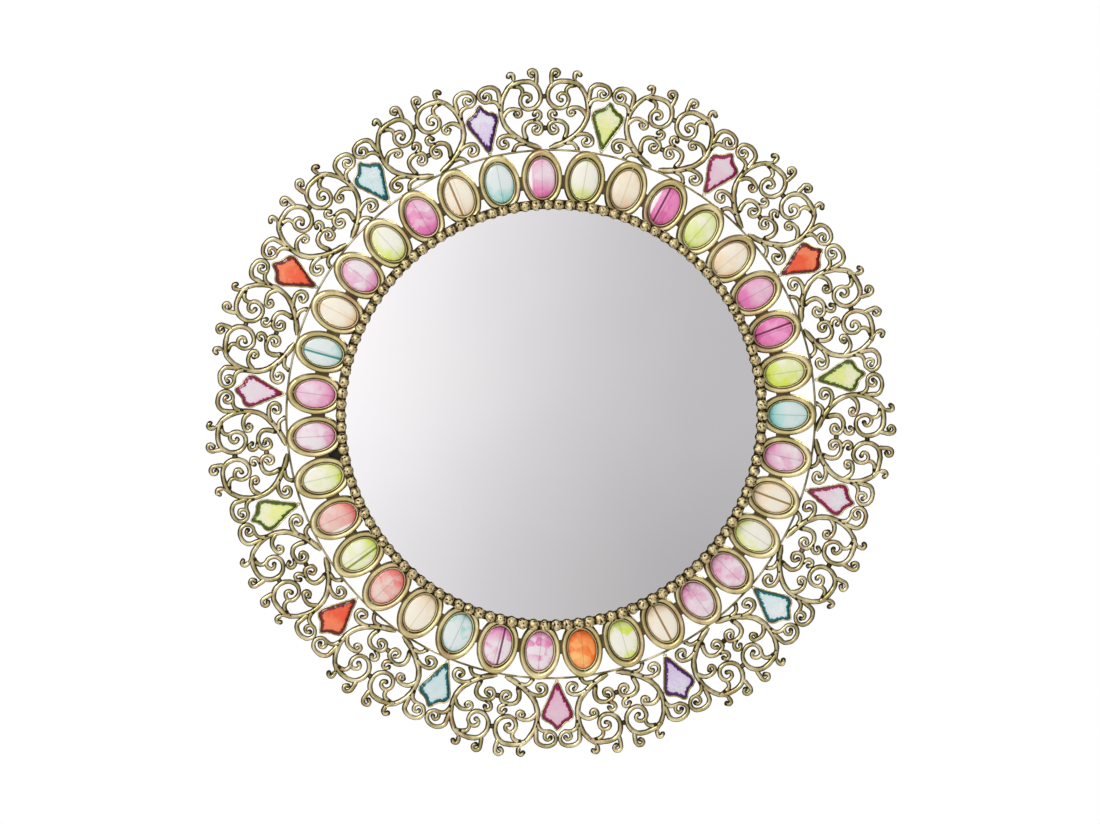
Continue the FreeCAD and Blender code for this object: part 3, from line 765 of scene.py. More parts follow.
def extruded(bm: bmesh.types.BMesh, ring: Sequence[bmesh.types.BMVert]) -> list[bmesh.types.BMVert]:
    """Extrude a closed ring of vertices.

    Args:
        bm: the mesh being built.
        ring: the vertices of the ring, in order.

    Returns:
        The new ring, in the same order and still in the old place.
    """
    count = len(ring)
    edges = [bm.edges.get((ring[step], ring[(step + 1) % count])) for step in range(count)]
    grown = bmesh.ops.extrude_edge_only(bm, edges=edges)["geom"]
    fresh = {item for item in grown if isinstance(item, bmesh.types.BMVert)}
    return [next(edge.other_vert(vert) for edge in vert.link_edges if edge.other_vert(vert) in fresh)
            for vert in ring]


def sweep(bm: bmesh.types.BMesh, sections: Sequence[Sequence[Vector]], closed: bool = False) -> None:
    """Extrude a cross-section from place to place along a bar.

    Args:
        bm: the mesh being built.
        sections: the section's corners at each place along the bar.
        closed: join the bar's end to its start, and otherwise cap both.
    """
    first = new_ring(bm, sections[0])
    ring = first
    for section in sections[1:]:
        ring = extruded(bm, ring)
        for vert, place in zip(ring, section):
            vert.co = place
    if closed:
        bmesh.ops.bridge_loops(bm, edges=loop_edges(first) + loop_edges(ring))
    else:
        for end in (first, ring):
            bmesh.ops.contextual_create(bm, geom=loop_edges(end))


def add_ball(bm: bmesh.types.BMesh, place: Vector, width: float, height: float,
             segments: int = 14) -> list[bmesh.types.BMVert]:
    """Add a ball that may be flattened from back to front.

    Args:
        bm: the mesh being built.
        place: its centre in metres.
        width: its diameter in millimetres.
        height: its size from back to front.
        segments: faces round it.

    Returns:
        The ball's vertices.
    """
    size = Matrix.Diagonal((width / 2 * MM, height / 2 * MM, width / 2 * MM, 1.0))
    made = bmesh.ops.create_uvsphere(bm, u_segments=segments, v_segments=segments * 2 // 3, radius=1.0,
                                     matrix=Matrix.Translation(place) @ size @ FACING)
    return made["verts"]


def settle(bm: bmesh.types.BMesh) -> None:
    """Sort a shape's vertices and faces, whose order the operators change from run to run.

    Args:
        bm: the shape.
    """
    verts = sorted(bm.verts, key=lambda vert: vert.co[:])
    bm.verts.sort(key={vert: rank for rank, vert in enumerate(verts)}.get)
    bm.verts.index_update()
    faces = sorted(bm.faces, key=lambda face: sorted(vert.index for vert in face.verts))
    bm.faces.sort(key={face: rank for rank, face in enumerate(faces)}.get)


def as_mesh(name: str, bm: bmesh.types.BMesh) -> bpy.types.Mesh:
    """Close the seams of a finished shape, face it outwards, sort it and store it.

    Args:
        name: the mesh's name.
        bm: the shape, which is freed.

    Returns:
        The mesh.
    """
    bmesh.ops.remove_doubles(bm, verts=bm.verts, dist=WELD)
    bmesh.ops.recalc_face_normals(bm, faces=bm.faces)
    settle(bm)
    mesh = bpy.data.meshes.new(name)
    bm.to_mesh(mesh)
    bm.free()
    return mesh


def copies(mesh: bpy.types.Mesh, places: Iterable[Matrix]) -> tuple[bmesh.types.BMesh, list[range]]:
    """Set copies of one shape side by side.

    Args:
        mesh: the shape.
        places: where each copy goes.

    Returns:
        The copies as one shape, and each copy's run of vertex numbers.
    """
    bm = bmesh.new()
    runs = []
    for place in places:
        start = len(bm.verts)
        bm.from_mesh(mesh)
        bm.verts.ensure_lookup_table()
        bmesh.ops.transform(bm, matrix=place, verts=bm.verts[start:])
        runs.append(range(start, len(bm.verts)))
    bm.verts.ensure_lookup_table()
    return bm, runs


def new_piece(name: str, bm: bmesh.types.BMesh, finish: Finish, crease: float = 38.0) -> bpy.types.Object:
    """Make an object of a finished shape.

    Args:
        name: the piece's name.
        bm: the shape, which is freed.
        finish: its finish.
        crease: edges that turn by more than this stay sharp.

    Returns:
        The piece.
    """
    mesh = as_mesh(name, bm)
    mesh.shade_smooth()
    mesh.set_sharp_from_angle(angle=math.radians(crease))
    mesh.materials.append(finish.material())
    piece = bpy.data.objects.new(name, mesh)
    bpy.context.scene.collection.objects.link(piece)
    return piece


def hang(piece: bpy.types.Object, slot: str, *nodes: str) -> None:
    """Fix a piece to the frame in place of CAD nodes, and report it.

    Args:
        piece: the new piece.
        slot: a name for its finish; not used.
        nodes: the nodes it stands for.
    """
    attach(piece, FRAME_BODY)
    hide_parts(*nodes)
    LOG.info("%s: %d faces", piece.name, len(piece.data.polygons))


def dress(node: str, finish: Finish) -> None:
    """Give a CAD node its finish, and report it.

    Args:
        node: the node's name.
        finish: its finish.
    """
    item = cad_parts[node]
    if item.material_slots:
        for holder in item.material_slots:
            holder.material = finish.material()
    else:
        item.data.materials.append(finish.material())
    LOG.info("%s: dressed in %s", node, finish.name)


@dataclass
class MirrorPane:
    """The silvered glass and the tray round it."""

    glass: Silvered = Silvered()

    def build(self) -> None:
        """Dress the pane and its tray."""
        dress("mirror_glass", self.glass)
        dress("mirror_tray", TRAY_BRASS)


@dataclass
class BeadRim:
    """The ring of hammered beads on the tray's lip."""

    count: int = 118
    circle: float = 242.0
    depth: float = 25.1
    diameter: float = 12.6
    back: float = 20.5
    fineness: int = 4
    dent: float = 1.7
    dent_spacing: float = 3.0
    dent_shift: tuple[float, float, float] = (3.1, 0.7, 5.3)
    dent_tarnish: float = 2.2
    side_shade: float = 0.25
    front_highlight: float = 1.1
    seed: int = 7

    def bead(self) -> bpy.types.Mesh:
        """One bead about the origin, with hammered dents that hold its patina.

        Returns:
            The mesh.
        """
        bm = bmesh.new()
        bmesh.ops.create_icosphere(bm, subdivisions=self.fineness, radius=self.diameter / 2 * MM)
        relief = bm.verts.layers.float.new(RELIEF)
        for vert in bm.verts:
            direction = vert.co.normalized()
            sink = max(0.0, noise.noise(direction * self.dent_spacing + Vector(self.dent_shift)))
            vert.co -= direction * (self.dent * sink * MM)
            vert[relief] = 1.0 - self.dent_tarnish * sink
        return as_mesh("bead", bm)

    def build(self) -> None:
        """Set the beads round the lip, each turned its own way, flat behind, and dark between from painted
        shade on their sides.
        """
        draw = random.Random(self.seed)
        places = []
        for index in range(self.count):
            turn = Matrix.Rotation(draw.uniform(0, 2 * math.pi), 4, "Y")
            tilt = Matrix.Rotation(draw.uniform(0, 2 * math.pi), 4, "X")
            shift = Matrix.Translation(spot(0.0, self.circle, self.depth))
            places.append(about_mirror(360.0 * index / self.count) @ shift @ tilt @ turn)
        bm, _ = copies(self.bead(), places)
        relief = bm.verts.layers.float[RELIEF]
        for vert in bm.verts:
            front = (-vert.co.y / MM - self.depth) / (self.diameter / 2)
            # Painted shade darkens each bead towards its sides and back, and a painted highlight brightens
            # its front
            vert[relief] *= min(1.0, max(0.0, self.side_shade + self.front_highlight * front))
            vert.co.y = min(vert.co.y, -self.back * MM)
        hang(new_piece("bead_rim", bm, BEAD_BRASS, crease=60.0), "bead_brass", "rim_beads")


@dataclass(frozen=True)
class StoneLook:
    """How one oval stone looks.

    Attributes:
        colour: its colour.
        strength: how much deeper than usual the colour is.
        lean: how much deeper the colour gets towards the right.
        bar: where a coloured bore shows, from -1 at the left to 1 at the right, or beyond for none.
        crescent: how wide a white crescent of painted highlight shows at the left (-) or the right (+).
        shade: how wide a dark crescent of painted shadow shows at the left (-) or the right (+).
        patch: how strongly its colour is broken into patches.
    """

    colour: StoneColour
    strength: float = 0.0
    lean: float = 0.0
    bar: float = 9.0
    crescent: float = 0.0
    shade: float = 0.0
    patch: float = 0.4


OVAL_STONES = (
    StoneLook(StoneColour.PINK, 0.20, -0.15, crescent=-0.80, shade=0.64, patch=0.2),
    StoneLook(StoneColour.LIME, -0.25),
    StoneLook(StoneColour.CREAM, 0.05),
    StoneLook(StoneColour.MAGENTA, 0.20, bar=-0.26, crescent=-0.86),
    StoneLook(StoneColour.LIME, 0.15, -0.10),
    StoneLook(StoneColour.CREAM, -0.05),
    StoneLook(StoneColour.PINK, 0.40, patch=0.2),
    StoneLook(StoneColour.MAGENTA, 0.20, bar=-0.20),
    StoneLook(StoneColour.LIME, 0.45, 0.25),
    StoneLook(StoneColour.AQUA, 0.05, patch=0.15),
    StoneLook(StoneColour.PINK, 0.10, 0.25),
    StoneLook(StoneColour.CREAM, -0.10, bar=0.0),
    StoneLook(StoneColour.LIME, -0.10, 0.40),
    StoneLook(StoneColour.PINK, -0.05, 0.10, patch=0.5),
    StoneLook(StoneColour.PINK, -0.10, -0.20, patch=0.55),
    StoneLook(StoneColour.CREAM, -0.20, bar=0.03),
    StoneLook(StoneColour.LIME, -0.10, -0.30, patch=0.7),
    StoneLook(StoneColour.ORANGE, 0.30, -0.10, patch=0.5),
    StoneLook(StoneColour.PINK, 0.00, patch=0.8),
    StoneLook(StoneColour.PINK, 0.12, bar=-0.24, patch=0.7),
    StoneLook(StoneColour.AQUA, -0.28, patch=0.7),
    StoneLook(StoneColour.CREAM, -0.20, -0.10),
    StoneLook(StoneColour.SALMON, 0.10),
    StoneLook(StoneColour.LIME, -0.02, bar=-0.32),
    StoneLook(StoneColour.SALMON, 0.15, crescent=-0.78, patch=0.25),
    StoneLook(StoneColour.LIME, -0.08, shade=0.62),
    StoneLook(StoneColour.PINK, -0.05, patch=0.3),
    StoneLook(StoneColour.PINK, 0.22, patch=0.2),
    StoneLook(StoneColour.AQUA, -0.36, bar=-0.15),
    StoneLook(StoneColour.CREAM, -0.25),
    StoneLook(StoneColour.PINK, 0.00, -0.20),
    StoneLook(StoneColour.LIME, -0.08, -0.35),
    StoneLook(StoneColour.PINK, 0.38, -0.15),
    StoneLook(StoneColour.CREAM, -0.15, bar=-0.28),
    StoneLook(StoneColour.AQUA, -0.15),
)
STONE_NUMBERS = (STRENGTH, "lean", "bar", "crescent", "shade", "patch")


@dataclass
class OvalRing:
    """The oval settings round the mirror, with their pins, stones and solder."""

    circle: float = 272.2
    half_length: float = 33.3
    half_width: float = 23.7
    opening_half_length: float = 22.7
    opening_half_width: float = 16.0
    seat: float = 247.1
    back: float = 12.0
    front: float = 20.0
    first_angle: float = -1.1
    stone_play: float = 0.1
    stone_depth: float = 16.0
    stone_half: float = 3.5
    stone_flatness: float = 0.6
    stone_segments: int = 48
    segments: int = 60
    pin_end: float = 297.6
    pin_sink: float = 2.2
    pin_size: float = 1.9
    pin_segments: int = 9
    pin_relief: float = 1.3

    # Share of the way from the outer edge to the opening, share of the depth, and relief, which paints a
    # highlight along the band and the lip and shade at the edges, with patina and painted shade in the groove
    section: tuple[tuple[float, float, float], ...] = (
        (0.00, 0.00, 0.55), (0.00, 0.35, 0.05), (0.03, 0.55, 0.35), (0.10, 0.80, 0.80), (0.24, 0.97, 1.00),
        (0.42, 1.00, 1.00), (0.58, 0.92, 0.85), (0.69, 0.78, 0.45), (0.75, 0.66, 0.10), (0.80, 0.66, 0.30),
        (0.86, 0.74, 0.95), (0.94, 0.72, 0.85), (1.00, 0.55, 0.15), (1.00, 0.00, 0.55),
    )

    def angles(self) -> list[float]:
        """The angle of every oval."""
        return [self.first_angle + 360.0 * index / len(OVAL_STONES) for index in range(len(OVAL_STONES))]

    def setting(self) -> bpy.types.Mesh:
        """One oval ring above the mirror's centre: a rounded band with a groove and a thin inner lip.

        Returns:
            The mesh.
        """
        bm = bmesh.new()
        relief = bm.verts.layers.float.new(RELIEF)
        loops = []
        for inward, share, height in self.section:
            wide = self.half_width + inward * (self.opening_half_width - self.half_width)
            tall = self.half_length + inward * (self.opening_half_length - self.half_length)
            depth = self.back + share * (self.front - self.back)
            place = Matrix.Translation(spot(0.0, self.circle, depth))
            size = Matrix.Diagonal((wide * MM, 1.0, tall * MM, 1.0))
            loop = bmesh.ops.create_circle(bm, segments=self.segments, radius=1.0,
                                           matrix=place @ size @ FACING)["verts"]
            for vert in loop:
                # The relief paints the band's highlight and the shade at its edges and groove
                vert[relief] = height
            loops.append(loop)
        for outer, inner in zip(loops, loops[1:] + loops[:1]):
            bmesh.ops.bridge_loops(bm, edges=loop_edges(outer) + loop_edges(inner))
        everything = bm.verts[:] + bm.edges[:] + bm.faces[:]
        cut = bmesh.ops.bisect_plane(bm, geom=everything, plane_co=spot(0.0, self.seat, 0.0),
                                     plane_no=(0.0, 0.0, -1.0), clear_outer=True)["geom_cut"]
        bmesh.ops.contextual_create(bm, geom=[item for item in cut if isinstance(item, bmesh.types.BMEdge)])
        pin = spot(0.0, self.pin_end, self.front - self.pin_sink)
        for vert in add_ball(bm, pin, self.pin_size, self.pin_size, self.pin_segments):
            vert[relief] = self.pin_relief
        return as_mesh("oval_setting", bm)

    def stone(self) -> bpy.types.Mesh:
        """One domed stone above the mirror's centre, which remembers its own directions.

        Returns:
            The mesh.
        """
        bm = bmesh.new()
        bmesh.ops.create_uvsphere(bm, u_segments=self.stone_segments, v_segments=self.stone_segments // 2,
                                  radius=1.0, matrix=FACING)
        across = bm.verts.layers.float.new(ACROSS)
        along = bm.verts.layers.float.new(ALONG)
        wide = self.opening_half_width - self.stone_play
        tall = self.opening_half_length - self.stone_play
        for vert in bm.verts:
            vert[across] = vert.co.x
            vert[along] = vert.co.z
            vert.co.y = math.copysign(abs(vert.co.y) ** self.stone_flatness, vert.co.y)
        bmesh.ops.scale(bm, vec=Vector((wide, self.stone_half, tall)) * MM, verts=bm.verts)
        bmesh.ops.translate(bm, vec=spot(0.0, self.circle, self.stone_depth), verts=bm.verts)
        return as_mesh("oval_stone", bm)

    def build_settings(self) -> None:
        """Set the rings round the mirror."""
        bm, _ = copies(self.setting(), [about_mirror(angle) for angle in self.angles()])
        hang(new_piece("oval_rings", bm, OVAL_BRASS), "oval_brass", "oval_settings")
        dress("stone_pins", PIN_BRASS)
        dress("setting_solder", SOLDER)

    def build_stones(self) -> None:
        """Set the stones in their rings, one piece for each colour."""
        shape = self.stone()
        for colour, glass in OVAL_GLASS.items():
            chosen = [(look, angle) for look, angle in zip(OVAL_STONES, self.angles())
                      if look.colour is colour]
            bm, runs = copies(shape, [about_mirror(angle) for _, angle in chosen])
            layers = {name: bm.verts.layers.float.new(name) for name in STONE_NUMBERS}
            bm.verts.ensure_lookup_table()
            for (look, _), run in zip(chosen, runs):
                for number in run:
                    for name, layer in layers.items():
                        bm.verts[number][layer] = getattr(look, name)
            hang(new_piece(glass.name, bm, glass), glass.name, f"oval_stones_{colour.value}")

    def build(self) -> None:
        """Make the settings and their stones."""
        self.build_settings()
        self.build_stones()


@dataclass(frozen=True)
class Stroke:
    """One bar of the scrolls: headed points above the ring wire, and its widths."""

    points: tuple[Headed, ...]
    root: float
    tip: float
    ending: Ending = Ending.EYE


SCROLL_STROKES = (
    # Stem
    Stroke(((4.5, 2.4, 12), (39.0, 20.5, 43), (50.0, 47.5, 90), (43.0, 70.5, 124), (35.2, 83.0, 96)),
           7.0, 5.4, Ending.LEAF),
    # Hook on the stem's tip
    Stroke(((35.6, 80.5, 100), (38.3, 88.4, 0), (41.2, 85.6, 270)), 5.4, 4.6),
    # Ring that ends in a spiral
    Stroke(((44.5, 68.5, 122), (20.0, 79.2, 180), (4.0, 62.0, 270), (18.0, 47.4, 0), (27.7, 58.0, 90),
            (21.5, 65.2, 180), (15.6, 60.5, 270), (19.2, 56.8, 0)), 6.4, 4.4),
    # Leaf inside the ring
    Stroke(((38.0, 73.6, 170), (25.2, 67.0, 270), (27.4, 60.0, 285)), 5.6, 4.2, Ending.LEAF),
    # Curl on the stem's inner side
    Stroke(((47.6, 37.0, 100), (36.0, 48.1, 180), (26.8, 43.0, 270), (30.5, 39.2, 0), (33.6, 42.3, 90)),
           5.6, 4.2),
    # Heart at the middle, and the curl on its top
    Stroke(((20.5, 9.5, 70), (24.9, 24.0, 90), (14.0, 33.3, 180), (3.8, 26.0, 270), (9.2, 19.2, 0),
            (14.0, 23.2, 90), (10.6, 26.6, 180)), 5.8, 4.3),
    Stroke(((14.5, 33.0, 160), (4.7, 40.5, 90), (8.4, 44.6, 0), (12.0, 41.0, 270)), 5.0, 4.2),
    # Curl and hook at the stem's foot
    Stroke(((30.0, 13.6, 30), (43.5, 17.4, 0), (54.2, 9.5, 270), (48.5, 3.3, 180), (43.0, 7.3, 90),
            (46.3, 10.6, 0)), 5.6, 4.2),
    Stroke(((19.0, 7.6, 15), (28.0, 7.6, 0), (36.2, -0.2, 280)), 5.5, 4.4),
    # Curl and leaf at the stem's shoulder
    Stroke(((50.0, 50.0, 89), (52.6, 66.5, 82), (63.0, 74.0, 0), (75.6, 64.0, 270), (67.2, 56.0, 180),
            (62.0, 61.8, 90), (65.8, 66.2, 0), (69.0, 62.8, 270)), 5.8, 4.0),
    Stroke(((50.3, 45.0, 84), (60.0, 57.0, 0), (66.5, 56.0, 350)), 5.5, 4.2, Ending.LEAF),
    # Curl on the ring's top
    Stroke(((9.5, 75.5, 98), (8.6, 87.0, 90), (13.2, 92.4, 0), (17.3, 88.9, 270), (14.2, 85.7, 180)),
           5.4, 4.2),
)


@dataclass
class ScrollRing:
    """The cast scroll panels round the ovals, and the wire that carries them."""

    count: int = 15
    wire_circle: float = 304.0
    back: float = 7.6
    back_step: float = 0.1
    front: float = 11.9
    step: float = 1.6
    turn_step: float = 0.16
    eye: float = 6.2
    collar: float = 6.4
    collar_heights: tuple[float, float] = (62.0, 25.6)
    # Painted shade that darkens the eyes of the spirals and the collars
    knob_shade: float = -0.6
    back_relief: float = 0.55
    back_share: float = 0.01
    # Painted shade, with patina, on the bars' sides, and a painted highlight, with rubbing, on their ridges
    side_shade: float = -0.55
    ridge_wear_and_highlight: float = 1.45
    breadth: float = 1.07
    root_width: float = 0.45
    root_taper: float = 9.0
    leaf_width: float = 0.35
    leaf_taper: float = 6.0
    shrink: float = 0.992
    sway: float = 0.6
    sway_length: float = 26.0
    lump: float = 0.45
    lump_length: float = 5.0
    seed_step: float = 7.3

    # Across, as a share of the bar's width, and up, as a share of the bar's height
    section: tuple[tuple[float, float], ...] = (
        (-0.5, 0.0), (-0.5, 0.2), (-0.38, 0.58), (-0.2, 0.92), (0.0, 1.0), (0.2, 0.92), (0.38, 0.58),
        (0.5, 0.2), (0.5, 0.0),
    )

    @staticmethod
    def meeting(start: Headed, end: Headed) -> Vector:
        """The point where two tangent arcs between two headed points meet.

        Args:
            start: across, outward and heading of the first point.
            end: the same of the second point.

        Returns:
            The meeting point, across and outward.
        """
        leave = Vector((math.cos(math.radians(start[2])), math.sin(math.radians(start[2]))))
        arrive = Vector((math.cos(math.radians(end[2])), math.sin(math.radians(end[2]))))
        span = Vector(end[:2]) - Vector(start[:2])
        along = span.dot(leave + arrive)
        bend = 2 * (1 - leave.dot(arrive))
        if bend < PARALLEL:
            reach = span.dot(span) / (4 * span.dot(arrive))
        else:
            reach = (math.sqrt(along ** 2 + bend * span.dot(span)) - along) / bend
        return (Vector(start[:2]) + Vector(end[:2])) / 2 + (leave - arrive) * (reach / 2)

    def arc(self, start: Vector, heading: float, end: Vector) -> tuple[list[tuple[Vector, float]], float]:
        """Places along an arc that leaves a point on a heading.

        Args:
            start: first point, across and outward.
            heading: heading there, in radians.
            end: last point.

        Returns:
            Points and headings after the first, and the heading at the end.
        """
        span = end - start
        half_turn = math.remainder(math.atan2(span.y, span.x) - heading, 2 * math.pi)
        bent = abs(half_turn) > STRAIGHT
        length = span.length * half_turn / math.sin(half_turn) if bent else span.length
        steps = max(2, math.ceil(length / self.step), math.ceil(abs(half_turn) / self.turn_step))
        places = []
        for number in range(1, steps + 1):
            part = number / steps
            chord = heading + half_turn * part
            reach = math.sin(half_turn * part) / math.sin(half_turn) if bent else part
            place = start + Vector((math.cos(chord), math.sin(chord))) * (span.length * reach)
            places.append((place, heading + 2 * half_turn * part))
        return places, heading + 2 * half_turn

    def path(self, points: Sequence[Headed]) -> list[tuple[Vector, float]]:
        """Points and headings along a bar.

        Args:
            points: the headed points it runs through.

        Returns:
            Places along it, with the heading at each in radians.
        """
        places = [(Vector(points[0][:2]), math.radians(points[0][2]))]
        for start, end in zip(points, points[1:]):
            middle = self.meeting(start, end)
            first, heading = self.arc(Vector(start[:2]), math.radians(start[2]), middle)
            last, _ = self.arc(middle, heading, Vector(end[:2]))
            places += first + last
        return places

    def lift(self, place: Vector, depth: float) -> Vector:
        """A drawn point of the panel at a depth."""
        return spot(place.x, self.wire_circle + place.y, depth)

    def bar_wear_and_light(self, share: float) -> float:
        """How bright a bar is at a share of its height: a flat back, sides darkened by patina and painted
        shade, and a ridge brightened by rubbing and a painted highlight.
        """
        return self.ridge_wear_and_highlight * share + self.side_shade if share > self.back_share else self.back_relief

    def add_bar(self, bm: bmesh.types.BMesh, stroke: Stroke, back: float) -> None:
        """Sweep one tapering, ridged bar, with the eye or leaf at its end.

        Args:
            bm: the mesh being built, with a relief layer.
            stroke: the bar.
            back: depth of its flat back, which differs from those of the bars that it crosses.
        """
        places = self.path(stroke.points)
        height = self.front - back
        start = len(bm.verts)
        sections = []
        for number, (place, heading) in enumerate(places):
            part = number / (len(places) - 1)
            width = self.breadth * (stroke.root + (stroke.tip - stroke.root) * part)
            width *= min(1.0, self.root_width + part * self.root_taper)
            if stroke.ending is Ending.LEAF:
                width *= min(1.0, self.leaf_width + (1.0 - part) * self.leaf_taper)
            side = Vector((math.sin(heading), -math.cos(heading))) * width
            sections.append([self.lift(place + side * across, back + up * height)
                             for across, up in self.section])
        sweep(bm, sections)
        bm.verts.ensure_lookup_table()
        relief = bm.verts.layers.float[RELIEF]
        # The relief paints a highlight on the ridge and shade on the sides, along with rubbing and patina
        for vert in bm.verts[start:]:
            vert[relief] = self.bar_wear_and_light((-vert.co.y / MM - back) / height)
        if stroke.ending is Ending.EYE:
            self.add_knob(bm, places[-1][0], self.eye)

    def add_knob(self, bm: bmesh.types.BMesh, place: Vector, width: float) -> None:
        """Add a knob as thick as the casting, darkened with painted shade.

        Args:
            bm: the mesh being built, with a relief layer.
            place: its centre on the drawn panel.
            width: its diameter.
        """
        relief = bm.verts.layers.float[RELIEF]
        height = self.front - self.back
        middle = self.lift(place, self.back + height / 2)
        for vert in add_ball(bm, middle, width, height):
            vert[relief] = self.knob_shade + self.bar_wear_and_light((-vert.co.y / MM - self.back) / height)

    def uneven(self, bm: bmesh.types.BMesh, seed: float) -> None:
        """Give a casting its own small faults: bars that sway and swell a little.

        Args:
            bm: the panel above the mirror's centre.
            seed: shifts the faults.
        """
        for vert in bm.verts:
            place = vert.co / MM
            faults = []
            # Noise of its own across and outward
            for shift in (Vector((seed, 0.3, 0.0)), Vector((0.7, seed, 40.5))):
                sway = noise.noise(place / self.sway_length + shift) * self.sway
                faults.append(sway + noise.noise(place / self.lump_length + shift) * self.lump)
            outward = self.wire_circle + (place.z - self.wire_circle) * self.shrink
            vert.co = spot(place.x + faults[0], outward + faults[1], -place.y)

    def panel(self) -> bpy.types.Mesh:
        """The panel above the mirror's centre: both halves and the collars between them.

        Returns:
            The mesh.
        """
        bm = bmesh.new()
        bm.verts.layers.float.new(RELIEF)
        for level, stroke in enumerate(SCROLL_STROKES):
            self.add_bar(bm, stroke, self.back + level * self.back_step)
        half = bm.verts[:] + bm.edges[:] + bm.faces[:]
        bmesh.ops.mirror(bm, geom=half, matrix=Matrix.Identity(4), merge_dist=-1.0, axis="X")
        for height in self.collar_heights:
            self.add_knob(bm, Vector((0.0, height)), self.collar)
        return as_mesh("scroll_panel", bm)

    def build(self) -> None:
        """Set the panels round the ring wire."""
        shape = self.panel()
        for index in range(self.count):
            bm, _ = copies(shape, [Matrix.Identity(4)])
            self.uneven(bm, index * self.seed_step)
            bmesh.ops.transform(bm, matrix=about_mirror(360.0 * index / self.count), verts=bm.verts)
            number = f"{index + 1:02d}"
            piece = new_piece(f"scroll_casting_{number}", bm, SCROLL_BRASS, crease=50.0)
            hang(piece, "scroll_brass", f"scroll_panel_{number}")
        dress("ring_wire", WIRE_BRASS)


# Each kite stone's colour, and how much deeper than usual it is
KITE_STONES = (
    (StoneColour.LIME, 0.05), (StoneColour.PINK, 0.14), (StoneColour.ORANGE, 0.00), (StoneColour.LIME, 0.08),
    (StoneColour.PINK, 0.00), (StoneColour.TEAL, 0.00), (StoneColour.VIOLET, 0.10), (StoneColour.PINK, 0.26),
    (StoneColour.TEAL, 0.14), (StoneColour.ORANGE, 0.10), (StoneColour.LIME, 0.00), (StoneColour.PINK, 0.00),
    (StoneColour.ORANGE, 0.00), (StoneColour.TEAL, 0.10), (StoneColour.VIOLET, 0.02),
)


